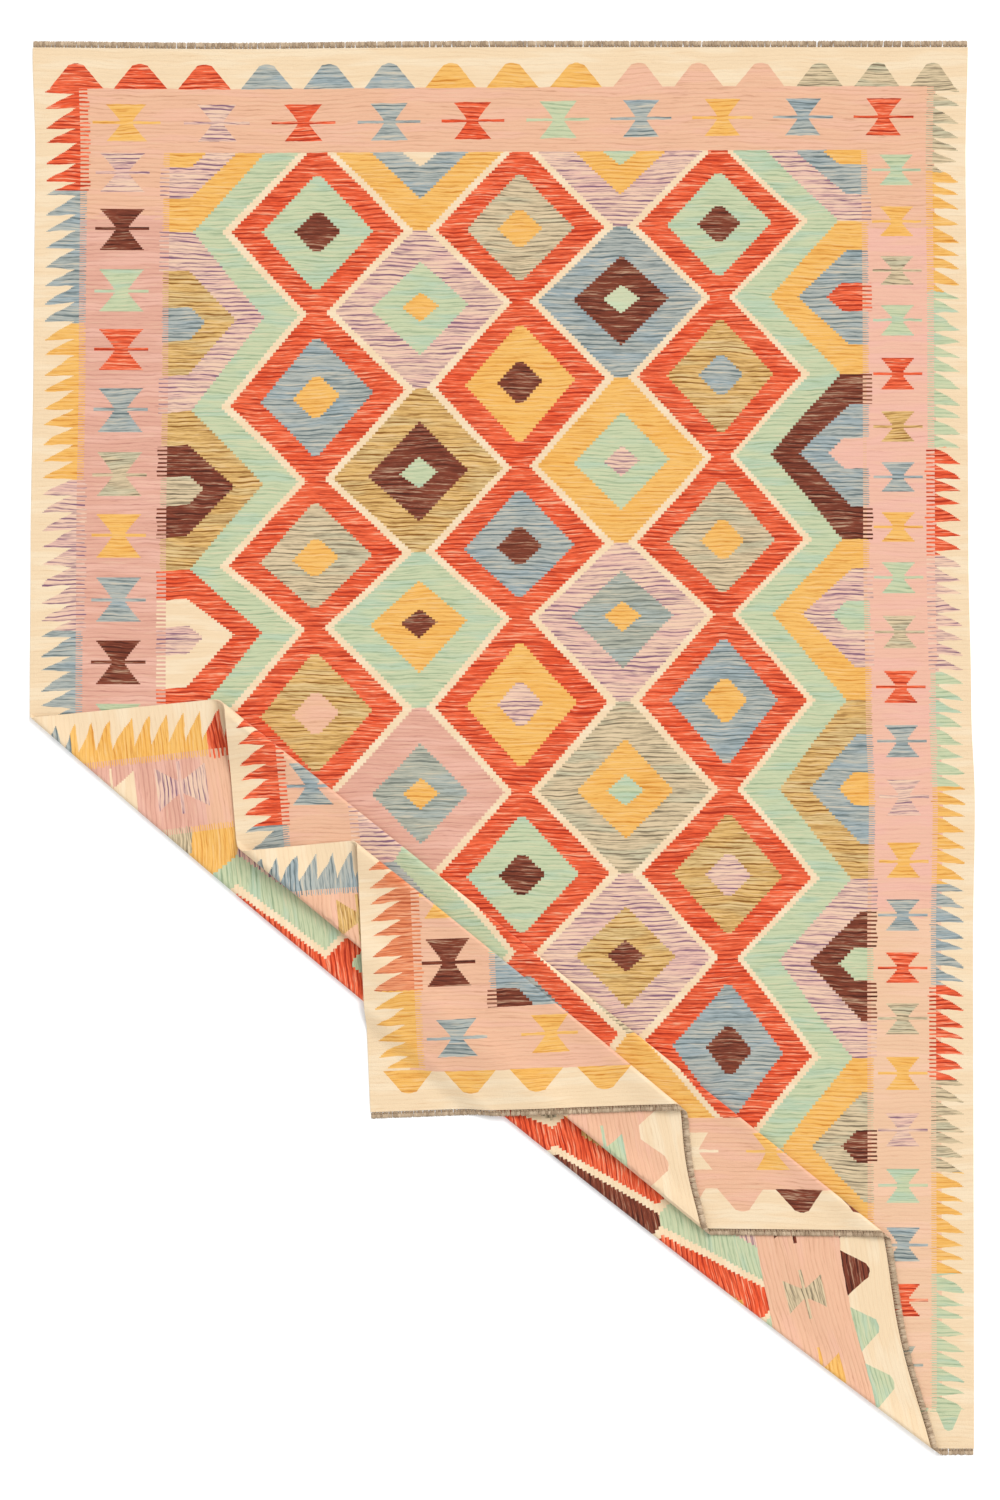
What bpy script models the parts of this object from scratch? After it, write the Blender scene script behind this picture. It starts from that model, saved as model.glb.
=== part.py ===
"""A flat-woven kilim rug, 2.00 m wide and 3.02 m long with its knotted ends.

The rug lies face up on the floor.  Its lower left corner is folded back and
forth along four slanting folds, so five layers lie on each other there, and
the corner itself comes down past the outermost fold on to the floor.

The cloth is worked out flat first.  A place on the flat cloth is (u, v):
u metres to the right of the left side and v metres down from the top end.
A ray runs from the folded corner to every place, and `place_on_rug` carries
the flat place to where it lies on the folded rug.  The two knotted ends are
worked out the same way, on a strip beyond each end of the cloth.
"""

from collections import namedtuple

import bmesh
import bpy
import numpy as np

# ---- driving sizes, in metres -------------------------------------------

CLOTH_WIDTH = 2.000
CLOTH_LENGTH = 2.990
CLOTH_THICKNESS = 0.003

KNOT_BAND = 0.0045      # the row of knots, next to the cloth
WARP_END_LENGTH = 0.0095  # the cut warp ends, beyond the knots
SEAM_GAP = 0.0009       # between the cloth's end and the knots
LOCKS_PER_END = 120
LOCK_SHARE = 0.68       # of the pitch that a lock fills
LOCK_TAPER = 0.10       # of its width that a lock loses on each side
LOCK_UNEVENNESS = 0.0012  # how much longer or shorter a lock may be
LOCK_WAVES = (2.4, 0.9)   # two waves along the locks, in radians per lock
LOCK_PITCH = CLOTH_WIDTH / LOCKS_PER_END
SHORTEST_CUT = 0.0003   # nearer than this to a corner, a cut goes through it

LAYER_PITCH = 0.0050    # from the middle of one layer to the next
LOOP_REACH = 8.0        # a fold's loop settles within this many radii
LOOP_SPREAD = 0.16      # how far an open loop runs along its fold
EDGE_CLEARANCE = 0.002  # between a draped layer and an edge under it
CORNER_DROP = 0.050     # the corner reaches the floor this far past fold A
CORNER_DRAW = 0.006     # and is drawn in this much by the way down

# ---- the folds ------------------------------------------------------------
# side and end: where the fold crosses the left side and the bottom end of the
#   flat cloth, measured down the side and along the end.
# bow: how far the middle of the fold lies from the straight line, down.
# side_x .. end_y: where those two crossings lie on the folded rug, from the
#   cloth's top left corner, to the right and down.
# loop_side, loop_middle, loop_end: radius of the turn along the fold.
# sway: how far the layer after the fold bows to the right at the bottom end.

Fold = namedtuple(
    "Fold",
    "name side end bow side_x side_y end_x end_y loop_side loop_middle loop_end sway",
)
FOLDS = (
    Fold("A", 1.431, 1.908, 0.030, 0.000, 1.431, 1.908, 2.990, 0.0055, 0.0045, 0.0060, -0.013),
    Fold("B", 1.837, 1.389, 0.000, 0.403, 1.397, 1.810, 2.526, 0.0115, 0.0045, 0.0055, 0.0),
    Fold("C", 2.153, 0.970, 0.000, 0.442, 1.709, 1.426, 2.517, 0.0110, 0.0050, 0.0050, -0.008),
    Fold("D", 2.400, 0.674, 0.000, 0.692, 1.692, 1.379, 2.252, 0.0090, 0.0045, 0.0075, 0.0),
)
SWAY_REACH = 0.25  # share of the fold's length over which the bow dies away
CORNER_X = 0.717   # where the folded corner would lie, were it not drawn in
CORNER_Y = 2.277

# ---- how far the outline strays from straight lines -----------------------
# down: metres from the top end; left and right: how far each side lies to
#   the right of its straight line there.

Stray = namedtuple("Stray", "down left right")
SIDE_STRAY = (
    Stray(0.00, 0.000, -0.005),
    Stray(0.22, 0.006, -0.010),
    Stray(0.65, 0.002, -0.006),
    Stray(1.07, -0.004, -0.004),
    Stray(1.40, -0.006, 0.002),
    Stray(1.62, -0.006, 0.010),
    Stray(1.90, -0.006, 0.006),
    Stray(2.99, -0.006, 0.008),
)
TOP_DIP = 0.004        # the top end sags a little, left of its middle
TOP_DIP_PLACE = 0.42
TOP_DIP_WIDTH = 0.30
TOP_DIP_DEPTH = 0.50

# ---- soft ripples in the folded layers ------------------------------------
# layer: the lowest layer that the ripple lifts, with all above it.
# x, y: its middle on the folded rug; turn: degrees from the x axis to its
#   crest, turning down; long, wide: its half length and half width.

Ripple = namedtuple("Ripple", "layer x y turn long wide height")
RIPPLES = (
    Ripple(1, 0.385, 1.590, 82, 0.130, 0.020, 0.0050),
    Ripple(1, 0.318, 1.600, 80, 0.100, 0.018, 0.0025),
    Ripple(3, 0.640, 1.900, 84, 0.120, 0.022, 0.0050),
    Ripple(3, 1.300, 2.420, 35, 0.160, 0.025, 0.0035),
    Ripple(1, 1.660, 2.640, 62, 0.150, 0.030, 0.0030),
)

# ---- how finely the cloth is cut into faces -------------------------------

COLUMNS_TO_TOP_END = 11    # rays that end on the top end
COLUMNS_TO_RIGHT_SIDE = 19  # rays that end on the right side
TURN_ROWS = 6              # rows around each fold's half turn
LAYER_ROWS = (6, 8, 7, 6)  # rows across the flat part and layers 1 to 3
ROW_CROWDING = 1.5         # layers 1 to 3 have finer rows near their fold
# rows across the corner flap, by the distance of its rows inside fold A
FLAP_ROWS = ((0.110, 4), (0.030, 4), (-0.080, 11))
FLAP_ROWS_AT_CORNER = 4

FOLD_SLOPE = (CLOTH_LENGTH - FOLDS[0].side) / FOLDS[0].end
ACROSS = 1.0 / np.hypot(1.0, FOLD_SLOPE)  # distance across folds per metre down
INWARD = np.array((FOLD_SLOPE * ACROSS, -ACROSS))  # up and to the right
QUARTER_TURN = np.pi / 2
TURN_SHIFT = QUARTER_TURN - 1.0  # in radii, from a sharp fold to a round one
NO_SIZE = 1e-9
BEYOND = 0.1            # how far past an edge of the cloth a ray may reach
WELD = 0.00001          # the rays' ends at the corner are one vertex


# ---- the flat cloth, as rays from its lower left corner --------------------


def smooth_step(x):
    """0 below 0, 1 above 1 and an even S between."""
    x = np.clip(x, 0.0, 1.0)
    return x * x * (3.0 - 2.0 * x)


def ray_of(u, v):
    """Share of the way from the left side to the bottom end, and reach."""
    reach = FOLD_SLOPE * u + (CLOTH_LENGTH - v)
    share = FOLD_SLOPE * u / np.maximum(reach, NO_SIZE)
    return np.clip(share, -BEYOND, 1.0 + BEYOND), reach


def flat_place(share, reach):
    """The inverse of ray_of."""
    return reach * share / FOLD_SLOPE, CLOTH_LENGTH - (1.0 - share) * reach


def fold_reach(fold, share):
    """How far along each ray the fold lies: a line, with a bow down."""
    at_side = CLOTH_LENGTH - fold.side
    at_end = FOLD_SLOPE * fold.end
    bow = 4.0 * fold.bow * share * (1.0 - share)
    return (1.0 - share) * at_side + share * at_end - bow


def loop_radius(fold, share):
    """The turn's radius: wider at both ends of the fold, tight between."""
    length = np.hypot(fold.end_x - fold.side_x, fold.end_y - fold.side_y)
    from_side = np.clip(share, 0.0, 1.0) * length
    from_end = length - from_side
    near_side = (fold.loop_side - fold.loop_middle) * np.exp(-((from_side / LOOP_SPREAD) ** 2))
    near_end = (fold.loop_end - fold.loop_middle) * np.exp(-((from_end / LOOP_SPREAD) ** 2))
    return fold.loop_middle + near_side + near_end


# ---- the folded cloth in plan, x to the right and y down -------------------


def eased(x, places, values):
    """Values between the given places, eased so that no kink shows."""
    places = np.asarray(places)
    values = np.asarray(values)
    step = np.clip(np.searchsorted(places, x, side="right") - 1, 0, len(places) - 2)
    part = smooth_step((x - places[step]) / (places[step + 1] - places[step]))
    return values[step] + (values[step + 1] - values[step]) * part


def ground_layer(u, v):
    """The part that lies face up: the flat cloth with its sides' strays."""
    down = [row.down for row in SIDE_STRAY]
    left = eased(v, down, [row.left for row in SIDE_STRAY])
    right = eased(v, down, [row.right for row in SIDE_STRAY])
    dip = TOP_DIP * np.exp(-(((u - TOP_DIP_PLACE) / TOP_DIP_WIDTH) ** 2))
    part = u / CLOTH_WIDTH
    return np.stack((u + left * (1.0 - part) + right * part, v + dip * np.exp(-v / TOP_DIP_DEPTH)), -1)


def corner_flap(u, v):
    """The last layer: the corner's triangle, laid as a whole."""
    fold = FOLDS[-1]
    corner = np.array((CORNER_X, CORNER_Y))
    along_end = (np.array((fold.end_x, fold.end_y)) - corner) / fold.end
    up_side = (np.array((fold.side_x, fold.side_y)) - corner) / (CLOTH_LENGTH - fold.side)
    laid = corner + u[..., None] * along_end + (CLOTH_LENGTH - v)[..., None] * up_side
    inside, _ = inside_fold(0, laid)
    return laid + INWARD * (CORNER_DRAW * smooth_step(-inside / CORNER_DROP))[..., None]


def sharp_fold(index, share):
    """Where the fold would lie in plan if the cloth turned with no radius."""
    fold = FOLDS[index]
    u, v = flat_place(share, fold_reach(fold, share))
    if index == 0:
        return ground_layer(u, v)
    if index == len(FOLDS) - 1:
        return corner_flap(u, v)
    part = share[..., None]
    seen = np.array((fold.side_x, fold.side_y)) * (1.0 - part)
    seen = seen + np.array((fold.end_x, fold.end_y)) * part
    outward = -inward_of(index)
    return seen + outward * (TURN_SHIFT * loop_radius(fold, share))[..., None]


def inward_of(index):
    """From a fold towards its layers: A and C open up, B and D down."""
    return INWARD if index % 2 == 0 else -INWARD


def turn_slide(across, radius):
    """How far in a round turn draws a place that is so far from the fold."""
    across = np.abs(across)
    angle = np.minimum(across / radius, QUARTER_TURN)
    drawn = radius * (1.0 - np.cos(angle)) - across + TURN_SHIFT * radius
    return np.where(across < QUARTER_TURN * radius, drawn, 0.0)


def end_sway(fold, share, part):
    """The bow of a layer's bottom end, none at its two folds."""
    along = np.exp(-(((1.0 - share[..., None]) / SWAY_REACH) ** 2))
    return np.array((fold.sway, 0.0)) * along * (4.0 * part * (1.0 - part)) ** 2


def plan_of(u, v):
    """Layer of each flat place, and where it lies in plan."""
    share, reach = ray_of(u, v)
    reaches = [fold_reach(fold, share) for fold in FOLDS]
    layer = sum((reach < limit).astype(int) for limit in reaches)
    plan = ground_layer(u, v)
    for index in range(1, len(FOLDS)):
        start, stop = reaches[index - 1], reaches[index]
        part = ((start - reach) / (start - stop))[..., None]
        strip = sharp_fold(index - 1, share) * (1.0 - part) + sharp_fold(index, share) * part
        strip = strip + end_sway(FOLDS[index - 1], share, part)
        plan = np.where((layer == index)[..., None], strip, plan)
    plan = np.where((layer == len(FOLDS))[..., None], corner_flap(u, v), plan)
    for index, fold in enumerate(FOLDS):
        near = (layer == index) | (layer == index + 1)
        slide = turn_slide((reaches[index] - reach) * ACROSS, loop_radius(fold, share))
        plan = plan + inward_of(index) * np.where(near, slide, 0.0)[..., None]
    return layer, plan


# ---- heights -----------------------------------------------------------------


def inside_fold(index, plan):
    """Distance of a place in plan inside the fold, and share along it."""
    fold = FOLDS[index]
    side = np.array((fold.side_x, fold.side_y))
    chord = np.array((fold.end_x, fold.end_y)) - side
    share = np.clip(((plan - side) @ chord) / (chord @ chord), 0.0, 1.0)
    bow = 4.0 * fold.bow * share * (1.0 - share) * ACROSS
    inward = np.array((chord[1], -chord[0])) / np.hypot(*chord)
    if index % 2:
        inward = -inward
    return (plan - side) @ inward + bow, share


def resting_lift(index, plan):
    """What a layer adds above the one below: its pitch and the fold's hump."""
    inside, share = inside_fold(index, plan)
    radius = loop_radius(FOLDS[index], share)
    settled = smooth_step((inside - radius) / (LOOP_REACH * radius))
    return LAYER_PITCH + (2.0 * radius - LAYER_PITCH) * (1.0 - settled)


def ripple_lift(layer, plan):
    """Long soft ridges, level with the layer at their rim."""
    lift = 0.0
    for row in RIPPLES:
        if row.layer == layer:
            turn = np.radians(row.turn)
            dx, dy = plan[..., 0] - row.x, plan[..., 1] - row.y
            along = (dx * np.cos(turn) + dy * np.sin(turn)) / row.long
            over = (dy * np.cos(turn) - dx * np.sin(turn)) / row.wide
            lift = lift + row.height * np.exp(-(along**2) - over**2)
    return lift


def resting_heights(plan):
    """Middle of each layer above the floor, away from its folds' turns."""
    heights = [np.full(plan.shape[:-1], CLOTH_THICKNESS / 2)]
    for index in range(len(FOLDS)):
        lift = resting_lift(index, plan) + ripple_lift(index + 1, plan)
        heights.append(heights[-1] + lift)
    heights[-1] = flap_height(heights[-1], plan)
    return heights


def flap_height(pile, plan):
    """The corner flap: off the pile, over fold A's turn, on to the floor."""
    inside_a, share = inside_fold(0, plan)
    inside_c, _ = inside_fold(2, plan)
    floor = CLOTH_THICKNESS / 2
    over_a = floor + 2.0 * loop_radius(FOLDS[0], share) + CLOTH_THICKNESS + EDGE_CLEARANCE
    off_pile = smooth_step(inside_a / np.maximum(inside_a - inside_c, NO_SIZE))
    off_pile = np.where(inside_c > 0.0, 1.0, off_pile)
    to_floor = smooth_step(1.0 + inside_a / CORNER_DROP)
    return floor + (over_a - floor) * to_floor + (pile - over_a) * off_pile


def place_on_rug(u, v):
    """Where the cloth's middle surface lies: x right, y up, z up."""
    u, v = np.broadcast_arrays(np.asarray(u, float), np.asarray(v, float))
    layer, plan = plan_of(u, v)
    heights = resting_heights(plan)
    z = np.choose(layer, heights)
    share, reach = ray_of(u, v)
    for index, fold in enumerate(FOLDS):
        radius = loop_radius(fold, share)
        angle = (fold_reach(fold, share) - reach) * ACROSS / radius
        turning = (np.abs(angle) < QUARTER_TURN) & ((layer == index) | (layer == index + 1))
        z = np.where(turning, heights[index] + radius * (1.0 + np.sin(angle)), z)
    return np.stack((plan[..., 0], -plan[..., 1], z), -1)


# ---- meshes ------------------------------------------------------------------


def cloth_columns():
    """Shares of the rays, with one to the top right corner."""
    corner = FOLD_SLOPE * CLOTH_WIDTH / (FOLD_SLOPE * CLOTH_WIDTH + CLOTH_LENGTH)
    to_top = corner * np.linspace(0.0, 1.0, COLUMNS_TO_TOP_END + 1)
    rest = np.linspace(0.0, 1.0, COLUMNS_TO_RIGHT_SIDE + 1)[1:]
    return np.concatenate((to_top, corner + (1.0 - corner) * rest))


def cloth_rows(share):
    """Reach of every row along the rays, from the far edges to the corner."""
    far_top = CLOTH_LENGTH / np.maximum(1.0 - share, NO_SIZE)
    far_side = FOLD_SLOPE * CLOTH_WIDTH / np.maximum(share, NO_SIZE)
    start = np.minimum(far_top, far_side)
    rows = []
    for index, (fold, count) in enumerate(zip(FOLDS, LAYER_ROWS)):
        middle = fold_reach(fold, share)
        half_turn = QUARTER_TURN * loop_radius(fold, share) / ACROSS
        crowding = ROW_CROWDING if index else 1.0
        for part in np.linspace(0.0, 1.0, count + 1)[:-1] ** crowding:
            rows.append(start + (middle + half_turn - start) * part)
        for part in np.linspace(-1.0, 1.0, TURN_ROWS + 1)[:-1]:
            rows.append(middle - half_turn * part)
        start = middle - half_turn
    return np.array(rows + flap_rows(share, start))


def flap_rows(share, start):
    """Rows of the corner flap, finest where it steps down past fold A."""
    corner = np.array((CORNER_X, CORNER_Y))
    at_corner = inside_fold(0, corner)[0]
    at_start = inside_fold(0, corner_flap(*flat_place(share, start)))[0]
    rows = []
    here = start
    for inside, count in FLAP_ROWS:
        there = start * (inside - at_corner) / (at_start - at_corner)
        for part in np.linspace(0.0, 1.0, count + 1)[:-1]:
            rows.append(here + (there - here) * part)
        here = there
    for part in np.linspace(0.0, 1.0, FLAP_ROWS_AT_CORNER + 1):
        rows.append(here * (1.0 - part))
    return rows


def lay(bm):
    """Carries every vertex from its flat place to the folded rug."""
    flat = np.array([vertex.co[:2] for vertex in bm.verts])
    for vertex, point in zip(bm.verts, place_on_rug(flat[:, 0], flat[:, 1])):
        vertex.co = point


def cloth_mesh():
    """A grid let out to the rays and rows, then laid as the rug lies."""
    columns = cloth_columns()
    rows = cloth_rows(columns)
    bm = bmesh.new()
    bmesh.ops.create_grid(bm, x_segments=len(columns) - 1, y_segments=len(rows) - 1, size=0.5)
    for vertex in bm.verts:
        column = round((vertex.co.x + 0.5) * (len(columns) - 1))
        row = round((vertex.co.y + 0.5) * (len(rows) - 1))
        u, v = flat_place(columns[column], rows[row, column])
        vertex.co = (u, v, 0.0)
    bmesh.ops.remove_doubles(bm, verts=bm.verts, dist=WELD)
    lay(bm)
    return finished_mesh(bm, "rug_cloth")


def lock_middles():
    """Where the middle of each lock stands along an end."""
    return (np.arange(LOCKS_PER_END) + 0.5) * LOCK_PITCH


def knot_strip(start, outward):
    """A flat strip along an end, cut at both sides of every lock."""
    half = LOCK_SHARE * LOCK_PITCH / 2
    sides = (lock_middles() - half, lock_middles() + half)
    stations = np.sort(np.concatenate(((0.0, CLOTH_WIDTH), *sides)))
    bm = bmesh.new()
    bmesh.ops.create_grid(bm, x_segments=len(stations) - 1, y_segments=1, size=0.5)
    for vertex in bm.verts:
        station = round((vertex.co.x + 0.5) * (len(stations) - 1))
        out = SEAM_GAP + KNOT_BAND * (vertex.co.y + 0.5)
        vertex.co = (stations[station], start + outward * out, 0.0)
    return bm


def lock_roots(bm, start):
    """The outer edges of the strip that carry a lock, with its middle."""
    middles = lock_middles()
    roots = []
    for edge in bm.edges:
        middle = sum(vertex.co.x for vertex in edge.verts) / 2
        outer = all(abs(vertex.co.y - start) > KNOT_BAND for vertex in edge.verts)
        lock = np.abs(middles - middle).argmin()
        if outer and abs(middles[lock] - middle) < WELD:
            roots.append((lock, middles[lock], edge))
    return roots


def draw_out_locks(bm, start, outward):
    """Extrudes the cut warp ends, each tapered and of its own length."""
    for lock, middle, edge in lock_roots(bm, start):
        new = bmesh.ops.extrude_edge_only(bm, edges=[edge])["geom"]
        uneven = np.prod(np.sin(lock * np.array(LOCK_WAVES)))
        length = WARP_END_LENGTH + LOCK_UNEVENNESS * uneven
        for vertex in [part for part in new if isinstance(part, bmesh.types.BMVert)]:
            vertex.co.x += 2.0 * LOCK_TAPER * (middle - vertex.co.x)
            vertex.co.y += outward * length


def cut_at_turns(bm):
    """Cuts the flat strip along each fold, where it is to go round a turn."""
    for fold in FOLDS:
        half_turn = QUARTER_TURN * loop_radius(fold, 1.0) / (ACROSS * FOLD_SLOPE)
        for part in np.linspace(-1.0, 1.0, TURN_ROWS + 1):
            bmesh.ops.bisect_plane(
                bm,
                geom=bm.verts[:] + bm.edges[:] + bm.faces[:],
                dist=SHORTEST_CUT,
                plane_co=(fold.end + half_turn * part, CLOTH_LENGTH, 0.0),
                plane_no=(*INWARD, 0.0),
            )


def end_mesh(name, folded):
    """A strip of knots, with the cut warp ends standing out of it as locks."""
    start, outward = (CLOTH_LENGTH, 1.0) if folded else (0.0, -1.0)
    bm = knot_strip(start, outward)
    draw_out_locks(bm, start, outward)
    if folded:
        cut_at_turns(bm)
    lay(bm)
    return finished_mesh(bm, name)


def finished_mesh(bm, name):
    """Lets every face look the same way and hands the mesh over."""
    bmesh.ops.recalc_face_normals(bm, faces=bm.faces)
    mesh = bpy.data.meshes.new(name)
    bm.to_mesh(mesh)
    bm.free()
    mesh.shade_smooth()
    mesh.set_sharp_from_angle(angle=np.radians(40.0))
    return mesh


# ---- objects and materials ---------------------------------------------------


def plain_material(name, colour, roughness):
    material = bpy.data.materials.new(name)
    material.use_nodes = True
    shader = material.node_tree.nodes["Principled BSDF"]
    shader.inputs["Base Color"].default_value = (*colour, 1.0)
    shader.inputs["Roughness"].default_value = roughness
    shader.inputs["Metallic"].default_value = 0.0
    return material


def wool_material():
    """Dyed wool, the red and cream of the pattern seen from afar."""
    return plain_material("dyed_wool", (0.72, 0.36, 0.22), 0.9)


def warp_material():
    """Undyed grey-brown warp yarn."""
    return plain_material("undyed_warp", (0.42, 0.32, 0.22), 0.9)


def add_sheet(collection, name, mesh, material):
    """A middle surface, thickened evenly to both sides."""
    mesh.materials.append(material)
    sheet = bpy.data.objects.new(name, mesh)
    collection.objects.link(sheet)
    wall = sheet.modifiers.new("thickness", "SOLIDIFY")
    wall.thickness = CLOTH_THICKNESS
    wall.offset = 0.0
    wall.use_rim = True
    return sheet


def centre_on_floor(sheets):
    """Moves the rug so that the middle of its box is the origin."""
    points = []
    for sheet in sheets:
        flat = np.empty(3 * len(sheet.data.vertices), np.float32)
        sheet.data.vertices.foreach_get("co", flat)
        points.append(flat.reshape(-1, 3))
    every = np.concatenate(points)
    middle = (every.min(0) + every.max(0)) / 2
    for sheet, own in zip(sheets, points):
        own[:, :2] -= middle[:2]
        sheet.data.vertices.foreach_set("co", own.ravel())
        sheet.data.update()


def remove_start_objects():
    for thing in list(bpy.data.objects):
        bpy.data.objects.remove(thing)


def main():
    remove_start_objects()
    rug = bpy.data.collections.new("kilim_rug")
    bpy.context.scene.collection.children.link(rug)
    wool = wool_material()
    warp = warp_material()
    sheets = [
        add_sheet(rug, "rug_cloth", cloth_mesh(), wool),
        add_sheet(rug, "end_knots_top", end_mesh("end_knots_top", False), warp),
        add_sheet(rug, "end_knots_bottom", end_mesh("end_knots_bottom", True), warp),
    ]
    centre_on_floor(sheets)


main()
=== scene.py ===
from collections import namedtuple

import bpy
import numpy as np
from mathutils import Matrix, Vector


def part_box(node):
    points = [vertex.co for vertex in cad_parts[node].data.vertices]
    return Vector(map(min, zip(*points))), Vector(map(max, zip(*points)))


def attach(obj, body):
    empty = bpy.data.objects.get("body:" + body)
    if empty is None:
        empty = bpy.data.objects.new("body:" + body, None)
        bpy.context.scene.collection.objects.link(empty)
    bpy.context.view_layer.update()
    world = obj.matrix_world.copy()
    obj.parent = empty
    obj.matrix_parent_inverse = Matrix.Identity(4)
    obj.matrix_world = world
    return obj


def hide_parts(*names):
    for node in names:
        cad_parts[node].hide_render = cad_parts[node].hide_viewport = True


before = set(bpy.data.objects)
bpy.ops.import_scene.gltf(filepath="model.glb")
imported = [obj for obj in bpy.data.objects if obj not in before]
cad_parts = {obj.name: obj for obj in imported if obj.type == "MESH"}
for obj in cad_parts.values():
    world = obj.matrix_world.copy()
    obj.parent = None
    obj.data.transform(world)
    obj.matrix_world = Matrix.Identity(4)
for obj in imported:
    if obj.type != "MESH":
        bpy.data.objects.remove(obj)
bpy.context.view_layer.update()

bl_info = {
    "name": "Folded kilim rug",
    "version": (1, 0, 0),
    "blender": (4, 5, 0),
    "location": "View3D > Sidebar > Kilim",
    "description": "Weaves, folds and lights a flat-woven rug with knotted ends",
    "category": "Add Mesh",
}

# ---- the rug's sizes, in metres, as in the solids --------------------------

CLOTH_WIDTH = 2.000
CLOTH_LENGTH = 2.990
CLOTH_THICKNESS = 0.003
SEAM_GAP = 0.0009       # between the cloth's end and the knots
END_REACH = 0.0149      # from the cloth's end to the tips of the warp ends
LAYER_PITCH = 0.0050    # from the middle of one layer to the next
LOOP_REACH = 8.0        # a fold's loop settles within this many radii
LOOP_SPREAD = 0.16      # how far an open loop runs along its fold
EDGE_CLEARANCE = 0.002  # between a draped layer and an edge under it
CORNER_DROP = 0.050     # the corner reaches the floor this far past fold A
CORNER_DRAW = 0.006     # and is drawn in this much by the way down

# Folds A to D: where each crosses the flat cloth's side and end, how it bows,
# where those crossings lie on the folded rug (right and down from the top left
# corner), the turn's radius along the fold, and how far the layer after it
# bows to the right at the bottom end.
Fold = namedtuple(
    "Fold", "side end bow side_x side_y end_x end_y loop_side loop_middle loop_end sway"
)
FOLDS = (
    Fold(1.431, 1.908, 0.030, 0.000, 1.431, 1.908, 2.990, 0.0055, 0.0045, 0.0060, -0.013),
    Fold(1.837, 1.389, 0.000, 0.403, 1.397, 1.810, 2.526, 0.0170, 0.0045, 0.0055, 0.0),
    Fold(2.153, 0.970, 0.000, 0.442, 1.709, 1.426, 2.517, 0.0150, 0.0050, 0.0050, -0.008),
    Fold(2.400, 0.674, 0.000, 0.692, 1.692, 1.379, 2.252, 0.0090, 0.0045, 0.0075, 0.0),
)
SWAY_REACH = 0.25
CORNER_X = 0.717        # where the corner's tip lies on the folded rug
CORNER_Y = 2.277

# How far each side lies to the right of its straight line, by metres down.
Stray = namedtuple("Stray", "down left right")
SIDE_STRAY = (
    Stray(0.00, 0.000, -0.005),
    Stray(0.22, 0.006, -0.010),
    Stray(0.65, 0.002, -0.006),
    Stray(1.07, -0.004, -0.004),
    Stray(1.40, -0.006, 0.002),
    Stray(1.62, -0.006, 0.010),
    Stray(1.90, -0.006, 0.006),
    Stray(2.99, -0.006, 0.008),
)
TOP_DIP = 0.004
TOP_DIP_PLACE = 0.42
TOP_DIP_WIDTH = 0.30
TOP_DIP_DEPTH = 0.50

# Soft ridges: the lowest layer each lifts, its middle on the folded rug, the
# crest's turn in degrees, its half length, half width and height.
Ripple = namedtuple("Ripple", "layer x y turn long wide height")
RIPPLES = (
    Ripple(1, 0.385, 1.590, 82, 0.130, 0.020, 0.0050),
    Ripple(1, 0.318, 1.600, 80, 0.100, 0.018, 0.0025),
    Ripple(3, 0.640, 1.900, 84, 0.120, 0.022, 0.0050),
    Ripple(3, 1.300, 2.420, 35, 0.160, 0.025, 0.0035),
    Ripple(1, 1.660, 2.640, 62, 0.150, 0.030, 0.0030),
)

COLUMNS = 168           # rays from the folded corner to the far edges
TURN_ROWS = 12
LAYER_ROWS = (84, 16, 14, 13)
ROW_CROWDING = 1.5
FLAP_ROWS = ((0.110, 8), (0.030, 8), (-0.080, 22))
FLAP_ROWS_AT_CORNER = 8
EDGE_SAMPLES = 400      # places tried to find how far the cloth reaches
SHARP_RIM = 0.8         # angle, in radians, past which an edge isn't smoothed

FOLD_SLOPE = (CLOTH_LENGTH - FOLDS[0].side) / FOLDS[0].end
ACROSS = 1.0 / np.hypot(1.0, FOLD_SLOPE)
INWARD = np.array((FOLD_SLOPE * ACROSS, -ACROSS))
QUARTER_TURN = np.pi / 2
TURN_SHIFT = QUARTER_TURN - 1.0
NO_SIZE = 1e-9
BEYOND = 0.1

# How the ends are tied and cut, in metres or as a share of the size.
SEED = 7
KNOT_RINGS = 6
KNOT_SIDES = 8
KNOT_WANDER = 0.0007
KNOT_MARGIN = 0.004     # from the side to the first knot's middle, at least
KNOT_UNEVEN = 0.08
YARNS_PER_KNOT = 5
YARN_SIDES = 6
YARN_TAPER = (0.8, 1.0, 1.0, 0.45)  # a yarn's thickness from its root to its tip
YARN_ROOT = 0.75        # where yarns start, as a share of the knot's length
YARN_SPAN = 0.80        # of the knot's pitch, that its yarns take up
YARN_SCATTER = 0.0004
YARN_FAN = 0.0026
YARN_LEAN = 0.0007
YARN_CURVE = 1.4
YARN_CUT = 0.0007       # how unevenly they are cut
YARN_UNEVEN = 0.12
YARN_MARGIN = 0.0002
YARN_SCATTER_UP = 0.0002
YARN_DROP = 0.0003
LOWEST = -0.00145       # that anything hangs under the cloth's middle
PROBE = 0.0004          # step that finds the cloth's normal

# ---- the weaver's chart -----------------------------------------------------
# The chart counts in units of CHART_UNIT metres, to the right and down.  The
# cloth's top left corner is at (MARGIN_X, MARGIN_Y).

CHART_UNIT = 0.0021345
MARGIN_X = 33.0
MARGIN_Y = 47.5
MIDDLE_X = 500.0        # between the left and the right border's motifs
MIDDLE_Y = 750.0

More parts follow.
